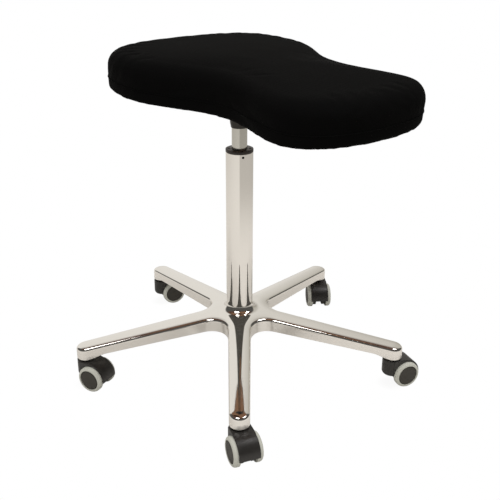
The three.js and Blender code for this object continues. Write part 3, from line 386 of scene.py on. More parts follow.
def base_sector(mesh):
    """A fifth of the casting: one arm and the halves of the two webs beside it."""
    crown = arm_rungs(CROWN_INSET, crown_height)
    patch(mesh, crown)
    slope = radial_slope(Vector((BORE_RADIUS + HUB_FILLET, 0)))
    fillet_start = BORE_RADIUS + HUB_FILLET * (math.sin(HUB_FILLET_END) - math.sin(slope))
    hub = hub_rows(CROWN_INSET, crown_height, fillet_start, HUB_ROWS)
    for k in range(1, FILLET_ROWS + 1):
        angle = along(slope, HUB_FILLET_END, k / FILLET_ROWS)
        inwards = (math.sin(angle) - math.sin(slope)) * HUB_FILLET
        rise = (math.cos(slope) - math.cos(angle)) * HUB_FILLET
        scale = 1 - inwards / fillet_start
        hub.append([Vector((p.x * scale, p.y * scale, p.z + rise)) for p in hub[HUB_ROWS]])
    bore_bottom = HUB_BOTTOM + HUB_LIP_THICKNESS
    hub.append(ring_from(hub[-1], 1, bore_bottom))
    hub.append(ring_from(hub[-1], HUB_LIP_RADIUS / BORE_RADIUS, bore_bottom))
    hub.append(ring_from(hub[-1], 1, HUB_BOTTOM))
    patch(mesh, hub)

    def edge_ring(inset, height):
        return mirrored(raised(half_arm(inset), height))

    def under(point):
        return underside_height(reach_of(point))

    sides = [edge_ring(CROWN_INSET, crown_height)]
    crown_edge = [p.z for p in sides[0]]
    top_rise = math.cos(ARM_CROWN_SLOPE)
    for k in range(1, SHOULDER_ROWS + 1):
        angle = along(ARM_CROWN_SLOPE, math.pi / 2, k / SHOULDER_ROWS)
        ring = edge_ring(ARM_SHOULDER * (1 - math.sin(angle)), lambda p: 0)
        fall = ARM_SHOULDER * (top_rise - math.cos(angle))
        sides.append([Vector((p.x, p.y, z - fall)) for p, z in zip(ring, crown_edge)])
    lower = edge_ring(0, lambda p: under(p) + ARM_LOWER_EDGE)
    wall = [[a.lerp(b, share) for a, b in zip(sides[-1], lower)] for share in WALL_RINGS]
    sides += [*wall, lower, edge_ring(ARM_LOWER_EDGE, under)]
    patch(mesh, sides)
    patch(mesh, arm_rungs(ARM_LOWER_EDGE, under))
    boss = hub_rows(ARM_LOWER_EDGE, under, HUB_BOSS_RADIUS, HUB_ROWS // 2)
    boss.append(ring_from(boss[-1], 1, HUB_BOTTOM))
    boss.append(ring_from(boss[-1], HUB_LIP_RADIUS / HUB_BOSS_RADIUS, HUB_BOTTOM))
    patch(mesh, boss)


def edited_whole(piece):
    """Opens one object for editing, with all of it selected."""
    only(piece)
    bpy.ops.object.mode_set(mode="EDIT")
    bpy.ops.mesh.select_all(action="SELECT")


def object_from(name, mesh):
    """New object from a bmesh, selected alone."""
    data = bpy.data.meshes.new(name)
    mesh.to_mesh(data)
    mesh.free()
    piece = bpy.data.objects.new(name, data)
    bpy.context.scene.collection.objects.link(piece)
    only(piece)
    return piece


def only(piece):
    """Selects one object and makes it active."""
    bpy.ops.object.select_all(action="DESELECT")
    piece.select_set(True)
    bpy.context.view_layer.objects.active = piece


def turned_right_way(piece, weld=WELD_DISTANCE):
    """Merges points that lie on each other and turns the faces outwards."""
    edited_whole(piece)
    bpy.ops.mesh.remove_doubles(threshold=weld)
    bpy.ops.mesh.normals_make_consistent(inside=False)
    bpy.ops.object.mode_set(mode="OBJECT")


def cut(piece, cutter, operation="DIFFERENCE"):
    """Cuts one object by another, which is used up."""
    only(piece)
    modifier = piece.modifiers.new("cut", "BOOLEAN")
    modifier.operation = operation
    modifier.solver = "EXACT"
    modifier.object = cutter
    bpy.ops.object.modifier_apply(modifier="cut")
    bpy.data.objects.remove(cutter)


def smoothed(piece, angle=32):
    """Smooth shading, with creases left where faces meet at more than this many degrees."""
    only(piece)
    bpy.ops.object.shade_smooth_by_angle(angle=math.radians(angle))


def bevelled(piece, width, segments, angle):
    """Adds a bevel along the edges where faces meet at more than this many degrees."""
    bevel = piece.modifiers.new("bevel", "BEVEL")
    bevel.width = width
    bevel.segments = segments
    bevel.limit_method = "ANGLE"
    bevel.angle_limit = math.radians(angle)
    return bevel


def rounded(piece, width, segments=3, angle=30):
    """Rounds the piece's sharp edges for good."""
    only(piece)
    bevelled(piece, width, segments, angle)
    bpy.ops.object.modifier_apply(modifier="bevel")


def joined(pieces):
    """Several objects as one."""
    only(pieces[0])
    for piece in pieces[1:]:
        piece.select_set(True)
    bpy.ops.object.join()
    return pieces[0]


def copied(piece, name=None):
    """Copy of a piece, with a mesh of its own."""
    copy = piece.copy()
    copy.data = piece.data.copy()
    if name:
        copy.name = copy.data.name = name
    bpy.context.scene.collection.objects.link(copy)
    return copy


def turn(angle, axis="Z"):
    return Matrix.Rotation(angle, 4, axis)


def turned_copies(piece):
    """Five of a piece that is made along +X, one for each arm, as one object."""
    copies = [piece]
    for i in range(1, ARM_COUNT):
        copies.append(copied(piece))
        copies[-1].data.transform(turn(i * 2 * HALF_SECTOR))
    whole = joined(copies)
    whole.data.transform(turn(FRONT))
    return whole


def placed(piece, matrix=Matrix.Identity(4)):
    """The object at the origin, with its place in its mesh."""
    bpy.context.view_layer.update()
    piece.data.transform(matrix @ piece.matrix_world)
    piece.matrix_world = Matrix.Identity(4)
    return piece


def round_bar(radius, low, high, matrix=Matrix.Identity(4), sides=ROUND_SIDES):
    """Cylinder about Z, which is then set in place."""
    bpy.ops.mesh.primitive_cylinder_add(
        vertices=sides, radius=radius, depth=high - low, location=(0, 0, (low + high) / 2)
    )
    return placed(bpy.context.object, matrix)


def pocket_cutters():
    """Wedges that hollow one arm from below, between its ribs."""
    start = BORE_RADIUS + HUB_FILLET
    end = CASTOR_CIRCLE - STEM_SOCKET_RADIUS - 2 * ARM_WALL
    pitch = (end - start) / ARM_POCKETS
    low = ARM_END_UNDERSIDE - ARM_WALL
    cutters = []
    for k in range(ARM_POCKETS):
        near = start + k * pitch + ARM_RIB / 2
        far = near + pitch - ARM_RIB
        share = (CASTOR_CIRCLE - far) / ARM_SLOPE_LENGTH
        half_width = along(ARM_END_RADIUS, ARM_ROOT_HALF_WIDTH, share) - ARM_WALL
        bpy.ops.mesh.primitive_cube_add(size=1)
        cutter = bpy.context.object
        for vert in cutter.data.vertices:
            x = far if vert.co.x > 0 else near
            top = slope_height(x, ARM_END_TOP, ARM_ROOT_TOP) - ARM_ROOF
            vert.co = (x, math.copysign(half_width, vert.co.y), top if vert.co.z > 0 else low)
        rounded(cutter, ARM_WALL / 2)
        cutters.append(cutter)
    stem_place = Matrix.Translation((CASTOR_CIRCLE, 0, ARM_END_UNDERSIDE))
    socket = round_bar(STEM_SOCKET_RADIUS, -STEM_SOCKET_DEPTH, STEM_SOCKET_DEPTH, stem_place, SMALL_SIDES)
    return joined([*cutters, socket])


def noise(tree, scale, detail, stretch=(1, 1, 1)):
    """Noise in object space, finer along an axis that has more than 1 in stretch."""
    place = made(tree, "Mapping", {"Vector": object_place(tree), "Scale": stretch}).outputs["Vector"]
    return made(tree, "TexNoise", {"Vector": place, "Scale": scale, "Detail": detail}).outputs["Fac"]


def bump(height, distance, strength):
    values = {"Height": height, "Distance": distance, "Strength": strength}
    return made(height.id_data, "Bump", values).outputs["Normal"]


def finish(name, roughness, metallic=0.0, specular=0.5):
    """New material, with its node tree and its shader."""
    material = bpy.data.materials.new(name)
    material.use_nodes = True
    shader = material.node_tree.nodes["Principled BSDF"]
    fed(shader, {"Roughness": roughness, "Metallic": metallic, "Specular IOR Level": specular})
    return material, material.node_tree, shader


STREAK_SPAN = (0.35, 0.7)  # of the noise that polishing streaks and grain are taken from


def polished_metal(name, colour, shade, low, high, stretch=(1, 1, 1)):
    """Buffed metal: faint cloudy tone, polishing streaks in its roughness, and a trace of waviness."""
    material, tree, shader = finish(name, low, metallic=1.0)
    cloud = noise(tree, scale=9, detail=3)
    streaks = noise(tree, scale=160, detail=4, stretch=stretch)
    waves = noise(tree, scale=14, detail=1)
    gloss = map_range(streaks, *STREAK_SPAN, low, high)
    relief = bump(waves, distance=0.0004, strength=0.12)
    fed(shader, {"Base Color": mixed(cloud, colour, shade), "Roughness": gloss, "Normal": relief})
    return material


ALUMINIUM_COLOUR = (0.86, 0.835, 0.795)
ALUMINIUM_SHADE = (0.8, 0.775, 0.74)
RIM_SPAN = (0.064, 0.069)  # the arms' ends are ground below it and polished above it
RIM_ROUGHNESS = 0.4


def ground_rim(material):
    """Adds the satin finish about the lower rims of the arms' ends."""
    tree = material.node_tree
    shader = tree.nodes["Principled BSDF"]
    buffed = shader.inputs["Roughness"].links[0].from_socket
    height = parts_of(object_place(tree))["Z"]
    rim = map_range(height, *RIM_SPAN, RIM_ROUGHNESS, 0.0)
    fed(shader, {"Roughness": maths("MAXIMUM", buffed, rim)})


def dressed(piece, material, body, slot, *nodes):
    """Material, body and the frame's nodes that the piece stands for; slot is not used."""
    piece.data.materials.clear()
    piece.data.materials.append(material)
    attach(piece, body)
    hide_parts(*nodes)


polished_aluminium = polished_metal(
    "polished_aluminium", ALUMINIUM_COLOUR, ALUMINIUM_SHADE, low=0.05, high=0.11
)
ground_rim(polished_aluminium)
sector = bmesh.new()
base_sector(sector)
casting = turned_copies(object_from("polished_casting", sector))
turned_right_way(casting)
cut(casting, turned_copies(pocket_cutters()))
smoothed(casting, angle=40)
dressed(casting, polished_aluminium, "base", "polished_aluminium", "base_star")

# Column tube: drawn aluminium tube, polished, pressed into the casting. A small hole under its rim
# takes the grub screw that holds the bush.
TUBE_EDGE = 0.0005
TUBE_WALL = 0.0025
TUBE_FLOOR = 0.003  # of its closed lower end
ROD_HOLE_RADIUS = 0.0053
GRUB_HOLE_SHARE = 1.12  # of the grub screw's radius
GRUB_HOLE_LENGTH = 0.02
TINY_SIDES = 32  # of the smallest holes and pins
GRUB_DIRECTION = math.radians(-75)


def lathed(name, places, sides=ROUND_SIDES):
    """Round piece about Z: a ring that is extruded and scaled through (radius, height) places."""
    radius, height = places[0]
    bpy.ops.mesh.primitive_circle_add(vertices=sides, radius=radius, location=(0, 0, height))
    piece = bpy.context.object
    piece.name = name
    edited_whole(piece)
    for next_radius, next_height in places[1:]:
        rise = (0, 0, next_height - height)
        scale = next_radius / radius
        bpy.ops.mesh.extrude_region_move(TRANSFORM_OT_translate={"value": rise})
        bpy.ops.transform.resize(value=(scale, scale, 1))
        radius, height = next_radius, next_height
    bpy.ops.object.mode_set(mode="OBJECT")
    return placed(piece)


def tube_piece(name, places, sides=ROUND_SIDES):
    """Lathed piece whose last ring meets its first."""
    piece = lathed(name, [*places, places[0]], sides)
    turned_right_way(piece)
    return piece


def solid_piece(name, places, sides=ROUND_SIDES):
    """Lathed piece with its first and last rings closed."""
    piece = lathed(name, places, sides)
    only(piece)
    bpy.ops.object.mode_set(mode="EDIT")
    bpy.ops.mesh.select_all(action="DESELECT")
    bpy.ops.mesh.select_non_manifold()
    bpy.ops.mesh.edge_face_add()
    bpy.ops.object.mode_set(mode="OBJECT")
    turned_right_way(piece)
    return piece


tube_low, tube_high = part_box("column_tube")
grub_low, grub_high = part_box("bush_grub_screw")
TUBE_RADIUS = tube_high.x
TUBE_INNER_RADIUS = TUBE_RADIUS - TUBE_WALL
GRUB_HEIGHT = (grub_low.z + grub_high.z) / 2
GRUB_RADIUS = (grub_high.z - grub_low.z) / 2
grub_hole = Matrix.Translation((0, 0, GRUB_HEIGHT)) @ turn(GRUB_DIRECTION) @ turn(math.pi / 2, "Y")
polished_tube = polished_metal(
    "polished_tube", ALUMINIUM_COLOUR, ALUMINIUM_SHADE, low=0.04, high=0.1, stretch=(1, 1, 0.04)
)
tube = tube_piece(
    "polished_column_tube",
    [
        (TUBE_RADIUS, tube_low.z),
        (TUBE_RADIUS, tube_high.z - TUBE_EDGE),
        (TUBE_RADIUS - TUBE_EDGE, tube_high.z),
        (TUBE_INNER_RADIUS, tube_high.z),
        (TUBE_INNER_RADIUS, tube_low.z + TUBE_FLOOR),
        (ROD_HOLE_RADIUS, tube_low.z + TUBE_FLOOR),
        (ROD_HOLE_RADIUS, tube_low.z),
    ],
)
hole_low = TUBE_RADIUS - GRUB_HOLE_LENGTH / 2
hole_high = TUBE_RADIUS + GRUB_HOLE_LENGTH / 2
hole_radius = GRUB_RADIUS * GRUB_HOLE_SHARE
cut(tube, round_bar(hole_radius, hole_low, hole_high, grub_hole, TINY_SIDES))
smoothed(tube)
dressed(tube, polished_tube, "base", "polished_aluminium", "column_tube")

# Guide bush: dark moulded plastic, pushed into the tube's mouth. Its flange covers the rim and has
# two round recesses for a pin spanner; the grub screw keeps it from turning.
SPANNER_HOLE_RADIUS = 0.0026
SPANNER_HOLE_OFFSET = 0.019
BUSH_BORE_RADIUS = 0.0143
SPANNER_HOLE_DEPTH = 0.003
BUSH_EDGE = 0.0007
ROUND_SHARE = 0.3  # of an edge's width, where the middle of its round lies
RUNNING_GAP = 0.0003
MOTTLE_SPAN = (0.3, 0.7)  # of the noise that a surface's gloss is taken from


def moulded_plastic(name, colour, lighter, roughness, grain):
    """Moulded plastic: fine grain, a slight mottle, and a sheen that breaks up over the grain."""
    material, tree, shader = finish(name, roughness)
    mottle = noise(tree, scale=60, detail=3)
    texture = noise(tree, scale=2600, detail=1)
    gloss = map_range(mottle, *MOTTLE_SPAN, roughness - 0.05, roughness + 0.08)
    relief = bump(texture, grain, strength=0.5)
    tone = mixed(mottle, colour, lighter)
    fed(shader, {"Base Color": tone, "Roughness": gloss, "Normal": relief})
    return material


bush_low, bush_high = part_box("guide_bush")
flange_radius = bush_high.x
flange_low = tube_high.z + RUNNING_GAP
sleeve_radius = TUBE_INNER_RADIUS - RUNNING_GAP
brown_plastic = moulded_plastic(
    "brown_plastic", (0.016, 0.011, 0.009), (0.024, 0.017, 0.013), roughness=0.38, grain=0.00005
)
bush = tube_piece(
    "guide_bush_flange",
    [
        (BUSH_BORE_RADIUS, bush_low.z),
        (sleeve_radius, bush_low.z),
        (sleeve_radius, flange_low),
        (flange_radius, flange_low),
        (flange_radius, bush_high.z - BUSH_EDGE),
        (flange_radius - ROUND_SHARE * BUSH_EDGE, bush_high.z - ROUND_SHARE * BUSH_EDGE),
        (flange_radius - BUSH_EDGE, bush_high.z),
        (BUSH_BORE_RADIUS + BUSH_EDGE, bush_high.z),
        (BUSH_BORE_RADIUS, bush_high.z - BUSH_EDGE),
    ],
)
for side in (1, -1):
    hole = Matrix.Translation((side * SPANNER_HOLE_OFFSET, 0, bush_high.z))
    cutter = round_bar(SPANNER_HOLE_RADIUS, -SPANNER_HOLE_DEPTH, SPANNER_HOLE_DEPTH, hole, TINY_SIDES)
    cut(bush, cutter)
smoothed(bush)
dressed(bush, brown_plastic, "base", "brown_plastic", "guide_bush")

# Grub screw: a blackened set screw with a hexagon socket, turned into the tube's hole just below the
# surface. Its point holds the bush.
GRUB_LENGTH = 0.005
GRUB_POINT = 0.001
GRUB_EDGE = 0.0003
GRUB_SUNK = 0.0008
GRUB_KEY_RADIUS = 0.0011
GRUB_KEY_DEPTH = 0.0015
KEY_SIDES = 6
GRUB_FACE = TUBE_RADIUS - GRUB_SUNK


def keyed(piece, radius, place, depth):
    """Cuts a hexagon socket into the end of a piece that was made about Z."""
    cut(piece, round_bar(radius, place - depth, place + depth, sides=KEY_SIDES))


def plain_metal(name, colour, shade, roughness, grain):
    """Metal that is left as it came from the tool: cloudy tone, uneven gloss and fine grain."""
    material, tree, shader = finish(name, roughness, metallic=1.0)
    cloud = noise(tree, scale=35, detail=4)
    texture = noise(tree, scale=900, detail=2)
    gloss = map_range(cloud, *MOTTLE_SPAN, roughness - 0.06, roughness + 0.1)
    relief = bump(texture, grain, strength=0.4)
    tone = mixed(cloud, colour, shade)
    fed(shader, {"Base Color": tone, "Roughness": gloss, "Normal": relief})
    return material


black_steel = plain_metal(
    "black_steel", (0.045, 0.043, 0.04), (0.03, 0.029, 0.028), roughness=0.42, grain=0.00003
)
grub = solid_piece(
    "set_screw",
    [
        (GRUB_RADIUS / 2, GRUB_FACE - GRUB_LENGTH),
        (GRUB_RADIUS, GRUB_FACE - GRUB_LENGTH + GRUB_POINT),
        (GRUB_RADIUS, GRUB_FACE - GRUB_EDGE),
        (GRUB_RADIUS - GRUB_EDGE, GRUB_FACE),
    ],
    TINY_SIDES,
)
keyed(grub, GRUB_KEY_RADIUS, GRUB_FACE, GRUB_KEY_DEPTH)
grub.data.transform(grub_hole)
smoothed(grub)
dressed(grub, black_steel, "base", "black_steel", "bush_grub_screw")

# Gas spring: a ground steel cylinder that slides in the bush and turns on the rod. Its upper end
# tapers into the seat's socket.
polished_steel = polished_metal(
    "polished_steel", (0.62, 0.61, 0.565), (0.54, 0.53, 0.49), low=0.12, high=0.2, stretch=(1, 1, 0.03)
)
cylinder_low, cylinder_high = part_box("pressure_cylinder")
CYLINDER_RADIUS = cylinder_high.x
TAPER_LENGTH = 0.044
TAPER = 0.0009
CYLINDER_EDGE = 0.001
cylinder = solid_piece(
    "gas_cylinder",
    [
        (CYLINDER_RADIUS - CYLINDER_EDGE, cylinder_low.z),
        (CYLINDER_RADIUS, cylinder_low.z + CYLINDER_EDGE),
        (CYLINDER_RADIUS, cylinder_high.z - TAPER_LENGTH),
        (CYLINDER_RADIUS - TAPER, cylinder_high.z),
    ],
)
smoothed(cylinder)
dressed(cylinder, polished_steel, "seat", "polished_steel", "pressure_cylinder")

# Parts inside the column: the rod with its piston, its bearing, buffer and clip. They are turned,
# pressed and moulded parts that the tube and the cylinder hide.
plain_steel = plain_metal(
    "plain_steel", (0.3, 0.295, 0.285), (0.22, 0.215, 0.21), roughness=0.36, grain=0.00004
)
black_plastic = moulded_plastic(
    "black_plastic", (0.014, 0.013, 0.012), (0.02, 0.019, 0.017), roughness=0.42, grain=0.00005
)
black_rubber = moulded_plastic(
    "black_rubber", (0.012, 0.012, 0.012), (0.019, 0.018, 0.018), roughness=0.8, grain=0.00008
)


def refinished(material, *names):
    """Gives the frame's own solids a finish."""
    for name in names:
        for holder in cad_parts[name].material_slots:
            holder.material = material


refinished(polished_steel, "piston_rod")
refinished(plain_steel, "lower_bearing_race", "upper_bearing_race", "bearing_ball_cage", "rod_clip")
refinished(plain_steel, "release_pin")
refinished(black_plastic, "piston")
refinished(black_rubber, "rubber_buffer")

# Castors: a steel stem is plugged into each arm's end, and a moulded housing turns on it, with a
# round boss about the stem and a hood over the two wheels.
CASTOR_TURNS = {"front": -69, "front_right": 22, "rear_right": -86, "rear_left": 24, "front_left": -27}
WHEEL_RADIUS = 0.025
WHEEL_TRAIL = 0.021
HOUSING_TOP = 0.0552
HOOD_RADIUS = 0.028
HOOD_WALL = 0.0018
HOOD_HALF_WIDTH = 0.0185
HOOD_END = math.radians(-7)
HOOD_TANGENT = math.radians(75)  # where the hood's curve runs out to the flat top
HOOD_EDGE = 0.0017
BOSS_RADIUS = 0.0175
BOSS_LOW = 0.022
BOSS_CORNER = 0.007
WEB_HALF_THICKNESS = 0.0063
AXLE_RADIUS = 0.003
AXLE_BOSS_RADIUS = 0.008
AXLE_BOSS_SPAN = math.radians(60)  # either way from its lowest point
STEM_RADIUS = 0.004
STEM_FLANGE_RADIUS = 0.009
STEM_FLANGE_THICKNESS = 0.0022
STEM_REACH = 0.026
STEM_EDGE = 0.0008
STEM_TIP_EDGE = 0.001
STEM_FLANGE_EDGE = 0.0004
WHEEL_AXIS = Matrix.Translation((WHEEL_TRAIL, 0, WHEEL_RADIUS))


def set_under_arms(piece, title, body, slot, node, material):
    """Copies a castor's piece to all five castors, each turned its own way."""
    for i, (place, degrees) in enumerate(CASTOR_TURNS.items()):
        copy = copied(piece, f"{place}_castor_{title}")
        arm = 2 * HALF_SECTOR * i + FRONT
        stem = Matrix.Translation((CASTOR_CIRCLE * math.cos(arm), CASTOR_CIRCLE * math.sin(arm), 0))
        copy.data.transform(stem @ turn(math.radians(degrees)))
        dressed(copy, material, body.format(place), slot, node.format(place))
    bpy.data.objects.remove(piece)


def hood_side():
    """Side view of the hood and the wall between the wheels, as points in X and Z."""
    axis = Vector((WHEEL_TRAIL, WHEEL_RADIUS))
    hood = arc_points(axis, HOOD_RADIUS, HOOD_END, HOOD_TANGENT, steps=28)
    flat_start = hood[-1].x - (HOUSING_TOP - hood[-1].y) * math.tan(HOOD_TANGENT)
    back = WHEEL_TRAIL - HOOD_RADIUS + HOOD_WALL
    corners = [Vector((flat_start, HOUSING_TOP)), Vector((back, HOUSING_TOP)), Vector((back, BOSS_LOW))]
    boss_start = -math.pi / 2 - AXLE_BOSS_SPAN
    boss = arc_points(axis, AXLE_BOSS_RADIUS, boss_start, boss_start + 2 * AXLE_BOSS_SPAN, steps=16)
    return hood + corners + boss


def lower_round(outer, bottom, width, steps):
    """Places round a lathed piece's lower outer edge."""
    return arc_points(Vector((outer - width, bottom + width)), width, -math.pi / 2, 0, steps)


def upper_round(outer, top, width, steps):
    """Places round a lathed piece's upper outer edge."""
    return arc_points(Vector((outer - width, top - width)), width, 0, math.pi / 2, steps)


def slab(name, side, half_width):
    """Plate with the given side view in X and Z, as far as half_width to either side."""
    outline = bmesh.new()
    outline.faces.new([outline.verts.new((p.x, -half_width, p.y)) for p in side])
    piece = object_from(name, outline)
    edited_whole(piece)
    bpy.ops.mesh.extrude_region_move(TRANSFORM_OT_translate={"value": (0, 2 * half_width, 0)})
    bpy.ops.object.mode_set(mode="OBJECT")
    turned_right_way(piece)
    return piece


stem_low = HOUSING_TOP - STEM_REACH
stem_top = ARM_END_UNDERSIDE + STEM_SOCKET_DEPTH
flange_top = ARM_END_UNDERSIDE - RUNNING_GAP
flange_bottom = flange_top - STEM_FLANGE_THICKNESS
plug_radius = STEM_SOCKET_RADIUS - RUNNING_GAP
stem = solid_piece(
    "stem_pin",
    [
        (STEM_RADIUS - STEM_EDGE, stem_low),
        (STEM_RADIUS, stem_low + STEM_EDGE),
        (STEM_RADIUS, flange_bottom),
        (STEM_FLANGE_RADIUS - STEM_FLANGE_EDGE, flange_bottom),
        (STEM_FLANGE_RADIUS, flange_bottom + STEM_FLANGE_EDGE),
        (STEM_FLANGE_RADIUS, flange_top - STEM_FLANGE_EDGE),
        (STEM_FLANGE_RADIUS - STEM_FLANGE_EDGE, flange_top),
        (plug_radius, flange_top),
        (plug_radius, stem_top - STEM_TIP_EDGE),
        (plug_radius - STEM_TIP_EDGE, stem_top),
    ],
    SMALL_SIDES,
)
smoothed(stem)
set_under_arms(stem, "pin", "base", "polished_steel", "{}_castor_stem", polished_steel)

hood = slab("hood", hood_side(), HOOD_HALF_WIDTH)
rounded(hood, HOOD_EDGE, segments=5, angle=60)
stem_boss = solid_piece(
    "stem_boss",
    [
        *lower_round(BOSS_RADIUS, BOSS_LOW, BOSS_CORNER, steps=10),
        *upper_round(BOSS_RADIUS, HOUSING_TOP, HOOD_EDGE, steps=5),
    ],
)
cut(hood, stem_boss, "UNION")
for side in (1, -1):
    side_on = WHEEL_AXIS @ turn(-side * math.pi / 2, "X")
    cut(hood, round_bar(HOOD_RADIUS - HOOD_WALL, WEB_HALF_THICKNESS, 2 * HOOD_HALF_WIDTH, side_on))
axle_hole = AXLE_RADIUS + RUNNING_GAP
axle_place = WHEEL_AXIS @ turn(-math.pi / 2, "X")
cut(hood, round_bar(axle_hole, -HOOD_HALF_WIDTH, HOOD_HALF_WIDTH, axle_place, SMALL_SIDES))
stem_hole = STEM_RADIUS + RUNNING_GAP
cut(hood, round_bar(stem_hole, stem_low - RUNNING_GAP, 2 * HOUSING_TOP, sides=SMALL_SIDES))
turned_right_way(hood, weld=0.00002)
smoothed(hood, angle=38)
housing_plastic = moulded_plastic(
    "housing_plastic", (0.012, 0.011, 0.01), (0.017, 0.015, 0.013), roughness=0.4, grain=0.00004
)
set_under_arms(hood, "hood", "{}_castor", "black_plastic", "{}_castor_housing", housing_plastic)
refinished(plain_steel, *(f"{place}_castor_axle" for place in CASTOR_TURNS))

# Wheels: a grey moulded hub with a slightly domed face, set in a groove inside a pale soft tread
# that is moulded round it.
HUB_FACE = 0.0255
HUB_INNER_FACE = 0.0069
HUB_FACE_RADIUS = 0.0182
HUB_CORE_RADIUS = 0.021
HUB_STEP = 0.004
HUB_SUNK = 0.0005
HUB_EDGE = 0.0012
HUB_BACK_EDGE = 0.0006
HUB_DOME = ((0.6, 0.0002), (0.25, 0.0003))  # shares of the face's radius, and how far it rises there
HUB_SIDES = 96
AXLE_END = 0.0215
TREAD_INNER_FACE = 0.0144
TREAD_LIP_RADIUS = 0.0193
TREAD_SHOULDER = 0.0055
TREAD_INNER_EDGE = 0.001
TREAD_LIP_SUNK = 0.0002
hub_core_end = HUB_FACE - HUB_STEP
hub_outer_face = HUB_FACE - HUB_SUNK
hub = solid_piece(
    "hub",
    [
        (axle_hole, AXLE_END + RUNNING_GAP),
        (axle_hole, HUB_INNER_FACE),
        (HUB_CORE_RADIUS - HUB_BACK_EDGE, HUB_INNER_FACE),
        (HUB_CORE_RADIUS, HUB_INNER_FACE + HUB_BACK_EDGE),
        (HUB_CORE_RADIUS, hub_core_end),
        (HUB_FACE_RADIUS, hub_core_end),
        *upper_round(HUB_FACE_RADIUS, hub_outer_face, HUB_EDGE, steps=6),
        *((HUB_FACE_RADIUS * share, hub_outer_face + rise) for share, rise in HUB_DOME),
    ],
    HUB_SIDES,
)
smoothed(hub)
groove_radius = HUB_CORE_RADIUS + RUNNING_GAP
inner_round = ROUND_SHARE * TREAD_INNER_EDGE
tread = tube_piece(
    "tread",
    [
        (groove_radius, TREAD_INNER_FACE),
        (WHEEL_RADIUS - TREAD_INNER_EDGE, TREAD_INNER_FACE),
        (WHEEL_RADIUS - inner_round, TREAD_INNER_FACE + inner_round),
        (WHEEL_RADIUS, TREAD_INNER_FACE + TREAD_INNER_EDGE),
        *upper_round(WHEEL_RADIUS, HUB_FACE, TREAD_SHOULDER, steps=12),
        (TREAD_LIP_RADIUS, HUB_FACE - TREAD_LIP_SUNK),
        (TREAD_LIP_RADIUS, hub_core_end + RUNNING_GAP),
        (groove_radius, hub_core_end + RUNNING_GAP),
    ],
)
smoothed(tread)
hub_plastic = moulded_plastic(
    "hub_plastic", (0.026, 0.023, 0.017), (0.033, 0.029, 0.022), roughness=0.58, grain=0.00006
)
tread_rubber = moulded_plastic(
    "tread_rubber", (0.47, 0.475, 0.43), (0.43, 0.435, 0.39), roughness=0.6, grain=0.00005
)
for side, way in (("left", 1), ("right", -1)):
    side_on = WHEEL_AXIS @ turn(-way * math.pi / 2, "X")
    for piece, title, slot, node, material in (
        (hub, "hub_moulding", "hub_plastic", "hub", hub_plastic),
        (tread, "tyre", "soft_tread", "tread", tread_rubber),
    ):
        copy = copied(piece)
        copy.data.transform(side_on)
        wheel = f"{{}}_{side}_wheel"
        set_under_arms(copy, f"{side}_{title}", wheel, slot, f"{{}}_castor_{side}_{node}", material)
for piece in (hub, tread):
    bpy.data.objects.remove(piece)

# Socket: a turned and blackened steel cone that sits on the gas spring's taper, with a collar that
# is welded into the seat plate's channel.
socket_low, socket_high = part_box("cone_socket")
SOCKET_RADIUS = 0.017
SOCKET_MOUTH_WALL = 0.0009
SOCKET_CHAMFER_HEIGHT = 0.009
SOCKET_COLLAR_LOW = 0.508
SOCKET_COLLAR_THICKNESS = 0.0025
SOCKET_EDGE = 0.0004
collar_radius = socket_high.x
collar_high = SOCKET_COLLAR_LOW + SOCKET_COLLAR_THICKNESS
socket_mouth = CYLINDER_RADIUS + RUNNING_GAP
socket = tube_piece(
    "taper_socket",
    [
        (socket_mouth, socket_low.z),
        (socket_mouth + SOCKET_MOUTH_WALL, socket_low.z),
        (SOCKET_RADIUS, socket_low.z + SOCKET_CHAMFER_HEIGHT),
        (SOCKET_RADIUS, SOCKET_COLLAR_LOW),
        (collar_radius - SOCKET_EDGE, SOCKET_COLLAR_LOW),
        (collar_radius, SOCKET_COLLAR_LOW + SOCKET_EDGE),
        (collar_radius, collar_high - SOCKET_EDGE),
        (collar_radius - SOCKET_EDGE, collar_high),
        (SOCKET_RADIUS, collar_high),
        (SOCKET_RADIUS, socket_high.z - SOCKET_EDGE),
        (SOCKET_RADIUS - SOCKET_EDGE, socket_high.z),
        (socket_mouth - TAPER, socket_high.z),
        (socket_mouth, cylinder_high.z - TAPER_LENGTH),
    ],
)
smoothed(socket)
socket_steel = plain_metal(
    "socket_steel", (0.05, 0.047, 0.043), (0.035, 0.033, 0.03), roughness=0.38, grain=0.00003
)
dressed(socket, socket_steel, "seat", "black_steel", "cone_socket")

# Seat plate and height lever: a pressed steel plate with a welded channel, painted black, and a flat
# steel lever on a pin between two lugs, with a moulded grip. They stay the frame's own solids.
PLATE_EDGE = 0.0007
LEVER_EDGE = 0.0008


def edges_softened(width, material, *names):
    """Rounds the edges of the frame's own solids and gives them a finish."""
    for name in names:
        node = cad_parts[name]
        node.modifiers.new("joined_corners", "WELD").merge_threshold = WELD_DISTANCE
        bevelled(node, width, segments=2, angle=40).harden_normals = True
        refinished(material, name)


painted_steel = moulded_plastic(
    "painted_steel", (0.02, 0.019, 0.018), (0.026, 0.025, 0.023), roughness=0.4, grain=0.00003
)
edges_softened(PLATE_EDGE, painted_steel, "seat_plate")
edges_softened(LEVER_EDGE, plain_steel, "release_lever")
edges_softened(LEVER_EDGE, black_plastic, "lever_grip")
edges_softened(PLATE_EDGE / 2, plain_steel, "lever_pivot_pin")

